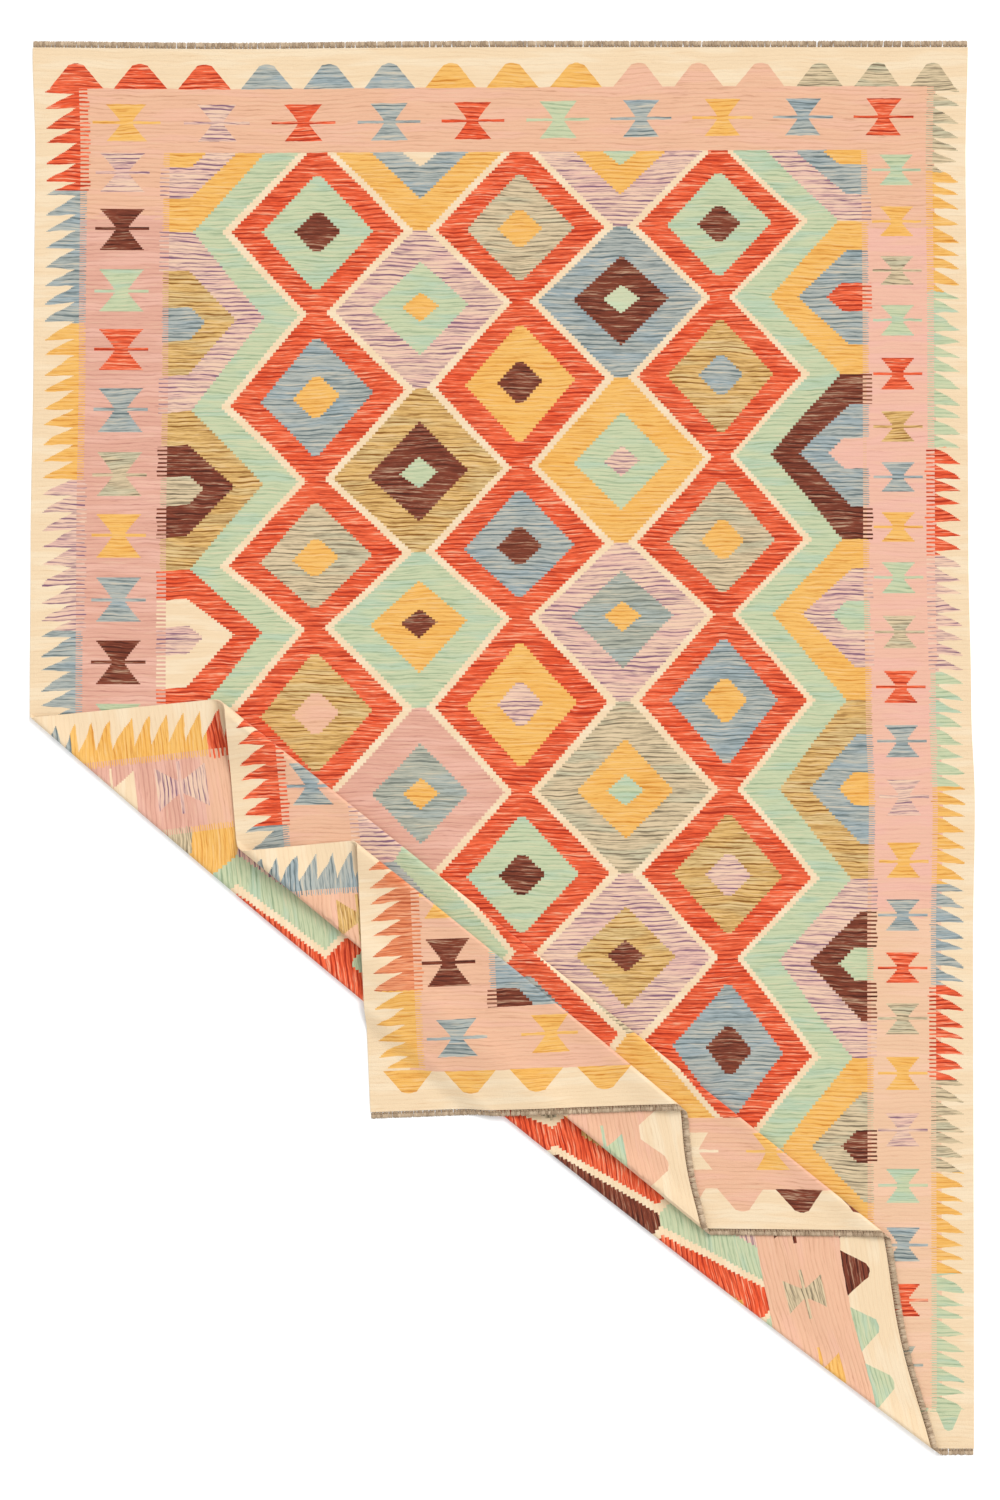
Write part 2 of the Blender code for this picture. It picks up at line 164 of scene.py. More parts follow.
Area = namedtuple("Area", "left right top bottom")
FIELD = Area(168.0, 865.0, 152.0, 1345.0)
BAND = Area(84.0, 930.0, 87.5, 1408.0)
LEFT_SPARE = 9.0        # how far the band runs on under the left teeth,
RIGHT_SPARE = 8.5       # and under the right ones
ROW_HEIGHT = 82.0       # usual height of half a diamond
CHAIN_PITCH = 204.0     # between the red chains
FIRST_CHAIN = 317.0
TREAD = 3.0             # width of one step of a stepped slope
FINE_TREAD = 1.7        # the same along the borders
# The pale wefts are partly paler yarn, partly a painted highlight on the ridges.
PALE_AND_HIGHLIGHT_SHARE = 0.50       # how far the lightest wefts go towards undyed wool
DYE_SHARE = 0.80        # of the light, what a full bright dye gives back

# Lines that rise to the right: from where, to where, and by how much.
Rise = namedtuple("Rise", "start stop amount")
BAND_RISE = Rise(450.0, 850.0, 1.5)
FIELD_RISE = Rise(450.0, 850.0, 2.0)
TOP_TIE_RISE = Rise(300.0, 850.0, 5.0)
BOTTOM_SLOPE = 0.028    # of the field's lower edge
BOTTOM_TIE_SLOPE = 0.0115

# How high each half row of diamonds lies at the left, middle and right.
RowLine = namedtuple("RowLine", "left middle right")
ROW_LINES_AT = RowLine(240.0, 520.0, 800.0)
ROW_LINES_FROM = 165.0
ROW_LINES_TO = 815.0
ROW_LINES = (
    RowLine(152, 152, 152),
    RowLine(231.5, 229, 221),
    RowLine(319, 302, 297),
    RowLine(405, 382, 374),
    RowLine(486, 467, 453),
    RowLine(565, 547, 540),
    RowLine(634, 618, 614),
    RowLine(719, 704, 700),
    RowLine(797, 792, 789),
    RowLine(896, 875, 878),
    RowLine(981, 957, 962),
    RowLine(1067, 1043, 1056),
    RowLine(1168, 1160, 1147),
    RowLine(1252, 1247, 1238),
    RowLine(1342, 1338, 1332),
    RowLine(1430, 1430, 1430),
)
COLUMN_PLACES = (162, 317, 421, 521, 623, 723, 804, 865)
COLUMN_EVEN = (162, 317, 419, 521, 623, 725, 811, 872)
LEAN = 0.012            # how the diamonds on the right drift to the right, by height
LEAN_START = 520.0      # from this place on,
LEAN_FULL = 865.0       # in full at this one,
LEAN_LEVEL = 400.0      # and not at all at this height

# The folded part is drawn to the right: by how much at each height, and its
# share at each place.  It sets in under the layers, where it doesn't show.
DRAW_DOWN = (840.0, 980.0, 1110.0, 1250.0, 1400.0)
DRAW_RIGHT = (4.0, 6.0, 12.0, 20.0, 22.0)
DRAW_ACROSS = (430.0, 620.0, 735.0, 865.0)
DRAW_SHARE = (1.0, 0.55, 0.45, 0.0)
DRAW_BEFORE = 170.0
DRAW_OVER = 150.0
DRAW_FROM = 175.0
DRAW_FROM_OVER = 20.0

# Bells on the band's ends: their middles, the letters of their dyes, and the
# height of their tops.  One is drawn BELL_PITCH units from the next.
BellRow = namedtuple("BellRow", "places dyes tip")
TOP_BELLS = BellRow(
    (76, 140, 205, 267, 330, 390, 452, 513, 578, 640, 700, 763, 822, 880, 935),
    "rrrbbbyyykkksss", 63.0,
)
BOTTOM_BELLS = BellRow(
    (73, 137, 205, 274, 343, 415, 476, 535.5, 600, 662, 726, 787, 849, 912, 945),
    "yyyykkkknnnmmmm", 1431.0,
)
BELL_PITCH = 62.0
BELL_SLOPE = 0.80
BELL_FOOT = 6.0
BELL_TOP_SLOPE = 3.5
BELL_TOP = 1.5
BELL_OVERLAP = 0.5      # of a bell and the band
ROW_SPARE = 0.45        # how far a row goes on past its last middles, in pitches

# Rows of bow-ties: their middles, the letters of their dyes, the line that
# they stand on, the pitch that they are drawn at, half the width and height
# of one, and how far its bar stands out.
TieRow = namedtuple("TieRow", "places dyes line pitch wide high bar")
TOP_TIES = TieRow(
    (125, 217, 303, 390, 473, 560, 643, 725, 806, 887),
    "ylrbrmbybr", 122.0, 86.0, 19.0, 18.5, 13.0,
)
BOTTOM_TIES = TieRow(
    (126, 222, 306, 400, 492, 574, 661, 740, 826, 897),
    "byrmcynsyg", 1375.5, 86.0, 18.5, 19.0, 9.0,
)
LEFT_TIES = TieRow(
    (172, 228, 291, 349, 409, 475, 535, 600, 662, 726, 757, 789, 855, 930, 996,
     1050, 1108, 1165, 1229, 1298),
    "lnmrbsybnmrclrbkkoyn", 120.5, 56.0, 22.5, 19.5, 4.5,
)
RIGHT_TIES = TieRow(
    (170, 222, 270.5, 319.5, 374, 427, 477, 527, 577, 632, 687, 741, 796, 862, 915,
     968, 1018, 1073, 1130, 1185, 1245, 1300),
    "mysmrobymsrblybrsylmbr", 900.0, 56.0, 17.0, 16.5, 7.0,
)
TIE_NECK = 0.27         # of its half width
TIE_CURVE = 1.15
TIE_BAR = 1.4           # half the bar's thickness

# Saw teeth along the sides: where one dye ends and the next begins, their
# letters, the line of the roots and the line that the tips are counted from,
# what both move by between two heights, the pitch and how it wanders, the
# reach, and the length of the comb behind them.
TeethRow = namedtuple(
    "TeethRow",
    "places dyes root root_move tip tip_move start stop pitch wander reach comb",
)
LEFT_TEETH = TeethRow(
    (86, 190, 323, 480, 631, 755, 886, 1034, 1175, 1325, 1405),
    "rbylbyrbay", 78.5, 6.5, 74.0, 0.0, 700.0, 770.0, 17.6, 0.9, 30.0, 9.0,
)
RIGHT_TEETH = TeethRow(
    (80, 170, 290, 450, 555, 672, 787, 884, 985, 1080, 1172, 1273, 1412),
    "symrlmybrsym", 936.0, -2.0, 934.5, -2.0, 640.0, 780.0, 14.8, 1.1, 28.0, 8.0,
)
TEETH_START = 4.0
TOOTH_CURVE = 1.2
TIP_WANDER = 4.0

# Where one colour meets the next along a warp: a coarse comb, or a fine one
# of every other weft.
COMB_PITCH = 4.2
COMB_SHARE = 0.45
FIELD_COMB = 9.5
WEFT_PITCH = 2.2
WEFT_SHARE = 0.5

# How far stepped slopes and loose wefts wander, the grooves' turns and the
# threads by chart unit.
SLOPE_WANDER = 5.0
LOOSENESS = 2.0
ROW_LOOSENESS = 0.03    # in half rows
GROOVES = 1.43
THREADS = 1.7
FULL_TURN = 6.2832

# Soft clouds that make the wool uneven: how fast each changes across and down,
# by chart unit, its detail, its seed and its roughness.
Cloud = namedtuple("Cloud", "across down detail seed rough", defaults=(2.0, 0.0, 0.5))
SLOPE_DRIFT = Cloud(0.012, 0.012)
LOOSE_WEFT = Cloud(0.08, 0.3, 2.0, 3.0)
PATCH_EDGE = Cloud(0.02, 0.2)
TOOTH_DRIFT = Cloud(0.01, 0.045, 2.0, 4.0)
LONG_WAVE = Cloud(0.006, 0.010, 2.0, 8.0)
SHORT_WAVE = Cloud(0.03, 0.03, 2.0, 9.0)
GROOVE_DRIFT = Cloud(0.018, 0.09, 3.0, 5.3)
WEFT_LINES = Cloud(0.030, 0.62, 3.0, 5.3, 0.6)
STREAKY_PATCH = Cloud(0.020, 0.11, 3.0, 7.7)
FINE_LINES = Cloud(0.10, 1.3, 2.0, 3.1)
DYE_BATH = Cloud(0.010, 0.075, 2.0, 2.7)

# The band's pinks: the dye, the place and the heights that it takes up, and
# how ragged its upper end is.
Patch = namedtuple("Patch", "dye left right top bottom ragged")
BAND_PATCHES = (
    Patch("q", 0.0, 172.0, 215.0, 877.0, 40.0),
    Patch("d", 868.0, 1000.0, 225.0, 1500.0, 60.0),
    Patch("e", 868.0, 1000.0, 915.0, 1500.0, 60.0),
)
BAND_GROUND = "k"
OUTER_GROUND = "c"

# Dyes of the diamonds, a word for each column, a letter for each row down.
CHAIN_INNER = ("mbsoymbs", "sybymoos", "mosbobym")
CHAIN_MIDDLE = ("nyykbnny", "ynnlnryn", "nbyylnnb")
OTHER_OUTER = ("yloMqmsy", "lbylslnm")
OTHER_INNER = ("bmnygynn", "ynmgyosl")
OTHER_MIDDLE = ("cymnynbm", "mpLymnyn")
SIDE_OUTER = ("ylorylbm", "lynyolys")
SIDE_MIDDLE = ("lonCsLbb", "bbBlbnsy")
SIDE_INNER = ("ybslgnyn", "yrdmymnr")
ROWS_PER_WORD = 8.0

# Bands beside a chain's middle: half the width at a neck, and what it gains
# at the widest.  Mint shows only at the sides.
Stripe = namedtuple("Stripe", "dye neck gain")
MINT_STRIPE = Stripe("m", 53.0, 72.0)
CREAM_STRIPE = Stripe("c", 17.5, 78.5)
RED_STRIPE = Stripe("r", 9.0, 77.0)
LAST_CHAIN_THINNER = 1.5

# Diamonds: half the width and height, and where their points are cut off.
# ROW_HEIGHT leaves them whole.
Diamond = namedtuple("Diamond", "wide high cut")
RED_INNER = Diamond(55.5, 61.0, 57.5)
RED_MIDDLE = Diamond(23.0, 24.0, 20.0)
BETWEEN_INNER = Diamond(49.0, 49.0, ROW_HEIGHT)
BETWEEN_MIDDLE = Diamond(18.5, 15.5, ROW_HEIGHT)
BETWEEN_SMALLEST = 0.86
BETWEEN_UNEVEN = 0.28

# Half diamonds at the border: their reach and half height on the left, and
# how much more these are on the right.
HalfDiamond = namedtuple("HalfDiamond", "reach high more_reach more_high")
BORDER_MIDDLE = HalfDiamond(68.0, 47.5, -4.5, 3.0)
BORDER_INNER = HalfDiamond(37.0, 15.0, -2.5, 0.0)

# The dyes: letter, name, note, the screen colours of the body, the streaks
# (also the painted shade in the grooves) and the other dye bath, how deep the
# grooves look and how dark their painted shade is, how much more of it is
# streaked, and whether it meets its neighbour in a coarse comb.
Dye = namedtuple("Dye", "letter name note body streak bath groove streaks comb")
DYES = (
    Dye("c", "cream", "Undyed ground", 0xFBDFB8, 0xE6BD90, 0xFCE6C4, 0.20, -0.09, 1),
    Dye("r", "red", "Red of the chains", 0xFE6C40, 0xB02E12, 0xF65A2E, 1.00, 0.01, 1),
    Dye("b", "blue", "Light indigo", 0xB7BCB5, 0x687677, 0xA3B3B8, 0.85, 0.00, 0),
    Dye("m", "mint", "Mint green", 0xCFD8AF, 0x9AAE8A, 0xBBD2B6, 0.65, -0.03, 0),
    Dye("y", "yellow", "Warm yellow", 0xFDC46A, 0xD8892E, 0xF8BA5C, 0.60, -0.03, 0),
    Dye("n", "brown", "Dark red-brown", 0x88402A, 0x4A1C0E, 0x884028, 0.80, 0.01, 1),
    Dye("k", "blush", "Pink of the band", 0xF5C09E, 0xCC9474, 0xF4BEA2, 0.38, -0.07, 0),
    Dye("q", "rose", "Rosier pink", 0xEAB09A, 0xBA7C6E, 0xF2BCA8, 0.42, -0.07, 0),
    Dye("l", "lavender", "Pink under lavender threads", 0xF8D0B6, 0x88627A, 0xEFC0B0, 1.00, 0.00, 1),
    Dye("o", "olive", "Olive green", 0xEBBE74, 0x926026, 0xE2C488, 0.85, 0.01, 0),
    Dye("s", "sage", "Grey-green", 0xE4CDA6, 0x80725A, 0xCCC6A6, 0.85, 0.01, 0),
    Dye("p", "pale_mint", "Palest green", 0xD4DAB5, 0xB0BE96, 0xCFDDBA, 0.40, -0.05, 0),
    Dye("g", "grey_blue", "Greyer indigo", 0xBABBAA, 0x787E74, 0xB0BAB4, 0.80, 0.00, 0),
    Dye("a", "orange", "Orange-red of a few teeth", 0xF2905F, 0xBC5630, 0xF49E70, 0.90, 0.00, 1),
    Dye("d", "shell", "Cool pink of the right band", 0xF7C1A8, 0xDDA090, 0xF5BDAB, 0.28, -0.08, 0),
    Dye("e", "petal", "Palest pink of the right band", 0xF6CAA6, 0xE0AC8C, 0xF8CBAC, 0.28, -0.08, 0),
)

# ---- the stage ----------------------------------------------------------------

FLOOR_REACH = 12.0
LAMP_PLACE = (2.4, 2.6, 3.2)
FILM = 36.0             # height of the picture in the camera, in millimetres
PICTURE_HEIGHT = 1500.0  # in chart units
FAR_CLIP = 100.0


# ---- the fold, worked out in arrays ------------------------------------------


def smooth_step(x):
    """0 below 0, 1 above 1 and an even S between."""
    x = np.clip(x, 0.0, 1.0)
    return x * x * (3.0 - 2.0 * x)


def ray_of(u, v):
    """Share of the way from the left side to the bottom end, and reach.

    The reach is the fold slope times u plus the distance up from the end.
    """
    reach = FOLD_SLOPE * u + (CLOTH_LENGTH - v)
    share = FOLD_SLOPE * u / np.maximum(reach, NO_SIZE)
    return np.clip(share, -BEYOND, 1.0 + BEYOND), reach


def flat_place(share, reach):
    """The inverse of ray_of."""
    return reach * share / FOLD_SLOPE, CLOTH_LENGTH - (1.0 - share) * reach


def fold_ends(fold):
    """Where a fold crosses the cloth's side and its end, on the folded rug."""
    return np.array((fold.side_x, fold.side_y)), np.array((fold.end_x, fold.end_y))


def fold_reach(fold, share):
    """How far along each ray the fold lies: a line, with a bow down."""
    at_side = CLOTH_LENGTH - fold.side
    at_end = FOLD_SLOPE * fold.end
    bow = 4.0 * fold.bow * share * (1.0 - share)
    return (1.0 - share) * at_side + share * at_end - bow


def loop_radius(fold, share):
    """The turn's radius: wider at both ends of the fold, tight between."""
    length = np.hypot(fold.end_x - fold.side_x, fold.end_y - fold.side_y)
    from_side = np.clip(share, 0.0, 1.0) * length
    from_end = length - from_side
    near_side = (fold.loop_side - fold.loop_middle) * np.exp(-((from_side / LOOP_SPREAD) ** 2))
    near_end = (fold.loop_end - fold.loop_middle) * np.exp(-((from_end / LOOP_SPREAD) ** 2))
    return fold.loop_middle + near_side + near_end


def eased(x, places, values):
    """Values between the given places, eased so that no kink shows."""
    places, values = np.asarray(places), np.asarray(values)
    step = np.clip(np.searchsorted(places, x, side="right") - 1, 0, len(places) - 2)
    part = smooth_step((x - places[step]) / (places[step + 1] - places[step]))
    return values[step] + (values[step + 1] - values[step]) * part


def ground_layer(u, v):
    """The part that lies face up: the flat cloth with its sides' strays."""
    down = [row.down for row in SIDE_STRAY]
    left = eased(v, down, [row.left for row in SIDE_STRAY])
    right = eased(v, down, [row.right for row in SIDE_STRAY])
    dip = TOP_DIP * np.exp(-(((u - TOP_DIP_PLACE) / TOP_DIP_WIDTH) ** 2))
    part = u / CLOTH_WIDTH
    x = u + left * (1.0 - part) + right * part
    return np.stack((x, v + dip * np.exp(-v / TOP_DIP_DEPTH)), -1)


def corner_flap(u, v):
    """The last layer: the corner's triangle, laid as a whole."""
    fold = FOLDS[-1]
    corner = np.array((CORNER_X, CORNER_Y))
    at_side, at_end = fold_ends(fold)
    along_end = (at_end - corner) / fold.end
    up_side = (at_side - corner) / (CLOTH_LENGTH - fold.side)
    laid = corner + u[..., None] * along_end + (CLOTH_LENGTH - v)[..., None] * up_side
    inside, _ = inside_fold(0, laid)
    return laid + INWARD * (CORNER_DRAW * smooth_step(-inside / CORNER_DROP))[..., None]


def sharp_fold(index, share):
    """Where the fold would lie in plan if the cloth turned with no radius."""
    fold = FOLDS[index]
    u, v = flat_place(share, fold_reach(fold, share))
    if index == 0:
        return ground_layer(u, v)
    if index == len(FOLDS) - 1:
        return corner_flap(u, v)
    at_side, at_end = fold_ends(fold)
    seen = at_side * (1.0 - share[..., None]) + at_end * share[..., None]
    return seen - inward_of(index) * (TURN_SHIFT * loop_radius(fold, share))[..., None]


def inward_of(index):
    """From a fold towards its layers: A and C open up, B and D down."""
    return INWARD if index % 2 == 0 else -INWARD


def turn_slide(across, radius):
    """How far in a round turn draws a place that is so far from the fold."""
    across = np.abs(across)
    angle = np.minimum(across / radius, QUARTER_TURN)
    drawn = radius * (1.0 - np.cos(angle)) - across + TURN_SHIFT * radius
    return np.where(across < QUARTER_TURN * radius, drawn, 0.0)


def end_sway(fold, share, part):
    """The bow of a layer's bottom end, none at its two folds."""
    along = np.exp(-(((1.0 - share[..., None]) / SWAY_REACH) ** 2))
    return np.array((fold.sway, 0.0)) * along * (4.0 * part * (1.0 - part)) ** 2


def plan_of(u, v):
    """Layer of each flat place, and where it lies in plan.

    Between two folds the plan is the straight mix of the two fold lines by
    the share of the reach; at each fold a half turn draws it in.
    """
    share, reach = ray_of(u, v)
    reaches = [fold_reach(fold, share) for fold in FOLDS]
    layer = sum((reach < limit).astype(int) for limit in reaches)
    plan = ground_layer(u, v)
    for index in range(1, len(FOLDS)):
        start, stop = reaches[index - 1], reaches[index]
        part = ((start - reach) / (start - stop))[..., None]
        strip = sharp_fold(index - 1, share) * (1.0 - part) + sharp_fold(index, share) * part
        strip = strip + end_sway(FOLDS[index - 1], share, part)
        plan = np.where((layer == index)[..., None], strip, plan)
    plan = np.where((layer == len(FOLDS))[..., None], corner_flap(u, v), plan)
    for index, fold in enumerate(FOLDS):
        near = (layer == index) | (layer == index + 1)
        slide = turn_slide((reaches[index] - reach) * ACROSS, loop_radius(fold, share))
        plan = plan + inward_of(index) * np.where(near, slide, 0.0)[..., None]
    return layer, plan


def inside_fold(index, plan):
    """Distance of a place in plan inside the fold, and share along it."""
    fold = FOLDS[index]
    at_side, at_end = fold_ends(fold)
    chord = at_end - at_side
    share = np.clip(((plan - at_side) @ chord) / (chord @ chord), 0.0, 1.0)
    bow = 4.0 * fold.bow * share * (1.0 - share) * ACROSS
    inward = np.array((chord[1], -chord[0])) / np.hypot(*chord)
    if index % 2:
        inward = -inward
    return (plan - at_side) @ inward + bow, share


def resting_lift(index, plan):
    """What a layer adds above the one below: its pitch and the fold's hump."""
    inside, share = inside_fold(index, plan)
    radius = loop_radius(FOLDS[index], share)
    settled = smooth_step((inside - radius) / (LOOP_REACH * radius))
    return LAYER_PITCH + (2.0 * radius - LAYER_PITCH) * (1.0 - settled)


def ripple_lift(layer, plan):
    """Long soft ridges: a bell curve along and across each crest."""
    lift = 0.0
    for row in RIPPLES:
        if row.layer == layer:
            turn = np.radians(row.turn)
            dx, dy = plan[..., 0] - row.x, plan[..., 1] - row.y
            along = (dx * np.cos(turn) + dy * np.sin(turn)) / row.long
            over = (dy * np.cos(turn) - dx * np.sin(turn)) / row.wide
            lift = lift + row.height * np.exp(-(along**2) - over**2)
    return lift


def resting_heights(plan):
    """Middle of each layer above the floor, away from its folds' turns."""
    heights = [np.full(plan.shape[:-1], CLOTH_THICKNESS / 2)]
    for index in range(len(FOLDS)):
        lift = resting_lift(index, plan) + ripple_lift(index + 1, plan)
        heights.append(heights[-1] + lift)
    heights[-1] = flap_height(heights[-1], plan)
    return heights


def flap_height(pile, plan):
    """The corner flap: off the pile, over fold A's turn, on to the floor."""
    inside_a, share = inside_fold(0, plan)
    inside_c, _ = inside_fold(2, plan)
    floor = CLOTH_THICKNESS / 2
    over_a = floor + 2.0 * loop_radius(FOLDS[0], share) + CLOTH_THICKNESS + EDGE_CLEARANCE
    off_pile = smooth_step(inside_a / np.maximum(inside_a - inside_c, NO_SIZE))
    off_pile = np.where(inside_c > 0.0, 1.0, off_pile)
    to_floor = smooth_step(1.0 + inside_a / CORNER_DROP)
    return floor + (over_a - floor) * to_floor + (pile - over_a) * off_pile


def place_on_rug(u, v):
    """Where the cloth's middle surface lies: x right, y up, z up.

    In a half turn the height is the lower layer's plus the radius times one
    plus the sine of the angle turned; elsewhere it is the layer's own.
    """
    u, v = np.broadcast_arrays(np.asarray(u, float), np.asarray(v, float))
    layer, plan = plan_of(u, v)
    heights = resting_heights(plan)
    z = np.choose(layer, heights)
    share, reach = ray_of(u, v)
    for index, fold in enumerate(FOLDS):
        radius = loop_radius(fold, share)
        angle = (fold_reach(fold, share) - reach) * ACROSS / radius
        turning = (np.abs(angle) < QUARTER_TURN) & ((layer == index) | (layer == index + 1))
        z = np.where(turning, heights[index] + radius * (1.0 + np.sin(angle)), z)
    return np.stack((plan[..., 0], -plan[..., 1], z), -1)


def cloth_rays():
    """Shares of the rays, with one to the top right corner."""
    corner = FOLD_SLOPE * CLOTH_WIDTH / (FOLD_SLOPE * CLOTH_WIDTH + CLOTH_LENGTH)
    to_top = round(COLUMNS * corner)
    rest = corner + (1.0 - corner) * np.linspace(0.0, 1.0, COLUMNS - to_top + 1)[1:]
    return np.concatenate((corner * np.linspace(0.0, 1.0, to_top + 1), rest))


def cloth_reaches(share):
    """Reach of every row along the rays, from the far edges to the corner."""
    far_top = CLOTH_LENGTH / np.maximum(1.0 - share, NO_SIZE)
    far_side = FOLD_SLOPE * CLOTH_WIDTH / np.maximum(share, NO_SIZE)
    start = np.minimum(far_top, far_side)
    rows = []
    for index, (fold, count) in enumerate(zip(FOLDS, LAYER_ROWS)):
        middle = fold_reach(fold, share)
        half_turn = QUARTER_TURN * loop_radius(fold, share) / ACROSS
        crowding = ROW_CROWDING if index else 1.0
        parts = np.linspace(0.0, 1.0, count + 1)[:-1, None] ** crowding
        rows.append(start + (middle + half_turn - start) * parts)
        rows.append(middle - half_turn * np.linspace(-1.0, 1.0, TURN_ROWS + 1)[:-1, None])
        start = middle - half_turn
    return np.concatenate(rows + flap_reaches(share, start))


def flap_reaches(share, start):
    """Rows of the corner flap, finest where it steps down past fold A."""
    at_corner = inside_fold(0, np.array((CORNER_X, CORNER_Y)))[0]
    at_start = inside_fold(0, corner_flap(*flat_place(share, start)))[0]
    rows = []
    here = start
    for inside, count in FLAP_ROWS:
        there = start * (inside - at_corner) / (at_start - at_corner)
        rows.append(here + (there - here) * np.linspace(0.0, 1.0, count + 1)[:-1, None])
        here = there
    rows.append(here * np.linspace(1.0, 0.0, FLAP_ROWS_AT_CORNER + 1)[:-1, None])
    return rows


# ---- meshes --------------------------------------------------------------------


def unit(vectors):
    """The same directions, each one long."""
    length = np.linalg.norm(vectors, axis=-1, keepdims=True)
    return vectors / np.maximum(length, NO_SIZE)


def rug_shift():
    """From the cloth's top left corner to the frame's origin."""
    low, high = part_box("rug_cloth")
    down = np.linspace(0.0, CLOTH_LENGTH, EDGE_SAMPLES)
    left = place_on_rug(0.0 * down, down)[:, 0]
    right = place_on_rug(CLOTH_WIDTH + 0.0 * down, down)[:, 0]
    middle_x = (min(left.min(), right.min()) + max(left.max(), right.max())) / 2
    across = np.linspace(0.0, CLOTH_WIDTH, EDGE_SAMPLES)
    top = place_on_rug(across, 0.0 * across)[:, 1].max()
    return np.array(((low.x + high.x) / 2 - middle_x, high.y - top, 0.0))


def new_piece(name, points, faces):
    """A mesh object at the origin, its place in its vertices."""
    mesh = bpy.data.meshes.new(name)
    mesh.from_pydata(points, [], faces)
    mesh.validate()
    piece = bpy.data.objects.new(name, mesh)
    bpy.context.scene.collection.objects.link(piece)
    mesh.shade_smooth()
    return piece


def store(piece, name, values):
    """Keeps three numbers at every vertex, for the material to read."""
    attribute = piece.data.attributes.new(name, "FLOAT_VECTOR", "POINT")
    attribute.data.foreach_set("vector", np.ascontiguousarray(values, np.float32).ravel())


def grid_faces(rows, columns):
    """Four-sided faces of a grid whose vertices are numbered row by row."""
    first = np.arange(rows - 1)[:, None] * columns + np.arange(columns - 1)
    corners = (first, first + columns, first + columns + 1, first + 1)
    return np.stack(corners, -1).reshape(-1, 4)


def strip_faces(one, other):
    """Faces between two rows of vertices of the same length."""
    return np.stack((one[:-1], other[:-1], other[1:], one[1:]), -1)


def number_along(place, row):
    """0 at a row's first motif, 1 at the next, and so on past both ends."""
    places = np.array(row.places, float)
    number = np.interp(place, places, np.arange(len(places)))
    before = np.minimum(place - places[0], 0.0) / (places[1] - places[0])
    after = np.maximum(place - places[-1], 0.0) / (places[-1] - places[-2])
    return number + before + after


def drawn_right(x, y):
    """How far the columns of the folded part are drawn to the right."""
    past_fold = y - MARGIN_Y - FOLDS[0].side / CHART_UNIT - FOLD_SLOPE * (x - MARGIN_X)
    drawn = np.interp(y, DRAW_DOWN, DRAW_RIGHT) * np.interp(x, DRAW_ACROSS, DRAW_SHARE)
    drawn = drawn * smooth_step((past_fold + DRAW_BEFORE) / DRAW_OVER)
    return drawn * smooth_step((x - DRAW_FROM) / DRAW_FROM_OVER) * (y < FIELD.bottom)


def field_numbers(x, y):
    """The even column place, and the number of half rows down.

    The height of every row line is a parabola through its three places.
    """
    lean_share = np.clip((x - LEAN_START) / (LEAN_FULL - LEAN_START), 0.0, 1.0)
    leaning = x - LEAN * (y - LEAN_LEVEL) * lean_share
    inside = np.clip(leaning, ROW_LINES_FROM, ROW_LINES_TO) - ROW_LINES_AT.middle
    part = (inside / (ROW_LINES_AT.right - ROW_LINES_AT.middle))[..., None]
    left, middle, right = np.array(ROW_LINES, float).T
    height = middle + (right - left) / 2 * part + (right + left - 2 * middle) / 2 * part**2
    below = np.clip((height < y[..., None]).sum(-1) - 1, 0, len(ROW_LINES) - 2)[..., None]
    low = np.take_along_axis(height, below, -1)[..., 0]
    high = np.take_along_axis(height, below + 1, -1)[..., 0]
    column = np.interp(leaning - drawn_right(x, y), COLUMN_PLACES, COLUMN_EVEN)
    return column, below[..., 0] + (y - low) / (high - low)


def chart_values(u, v):
    """What the pattern needs at every place: three sets of three numbers.

    flat: chart units to the right and down.  field: the diamonds' column and
    row, and the bow-tie at the ends.  edge: the bell, the bow-tie and the
    teeth at the sides.  Each is whole at a motif's middle.
    """
    x = MARGIN_X + u / CHART_UNIT
    y = MARGIN_Y + v / CHART_UNIT
    upper, leftish = y < MIDDLE_Y, x < MIDDLE_X
    bell = np.where(upper, number_along(x, TOP_BELLS), number_along(x, BOTTOM_BELLS))
    end_tie = np.where(upper, number_along(x, TOP_TIES), number_along(x, BOTTOM_TIES))
    side_tie = np.where(leftish, number_along(y, LEFT_TIES), number_along(y, RIGHT_TIES))
    teeth = np.where(leftish, number_along(y, LEFT_TEETH), number_along(y, RIGHT_TEETH))
    column, row = field_numbers(x, y)
    return {
        "flat": np.stack((x, y, 0.0 * x), -1),
        "field": np.stack((column, row, end_tie), -1),
        "edge": np.stack((bell, side_tie, teeth), -1),
    }


def weave_cloth(sizes):
    """The cloth: a middle surface on a grid of rays and rows, let out to both
    faces along its own normal, with a rounded edge and a closed corner."""
    share = cloth_rays()
    u, v = flat_place(share, cloth_reaches(share))
    rows, columns = u.shape
    middle = place_on_rug(u, v) + rug_shift()
    normal = unit(np.cross(np.gradient(middle, axis=0), np.gradient(middle, axis=1)))
    half = sizes.thickness / 2
    left_side = np.arange(1, rows) * columns
    bottom_end = left_side[::-1] + columns - 1
    rim = np.concatenate((bottom_end, np.arange(columns)[::-1], left_side))
    top = (middle + normal * half).reshape(-1, 3)
    bottom = (middle - normal * half).reshape(-1, 3)
    bulge = middle.reshape(-1, 3)[rim] + edge_direction(middle, rim) * sizes.edge_roundness
    tip = place_on_rug(0.0, CLOTH_LENGTH) + rug_shift()
    tips = tip + np.array(((0, 0, half), (0, 0, -half)))
    points = np.concatenate((top, bottom, bulge, tips))
    piece = new_piece("woven_cloth", points, cloth_faces(rows, columns, rim))
    piece.data.set_sharp_from_angle(angle=SHARP_RIM)
    flat_u = np.concatenate((u.ravel(), u.ravel(), u.ravel()[rim], (0.0, 0.0)))
    flat_v = np.concatenate((v.ravel(), v.ravel(), v.ravel()[rim], [CLOTH_LENGTH] * 2))
    for name, values in chart_values(flat_u, flat_v).items():
        store(piece, name, values)
    return piece


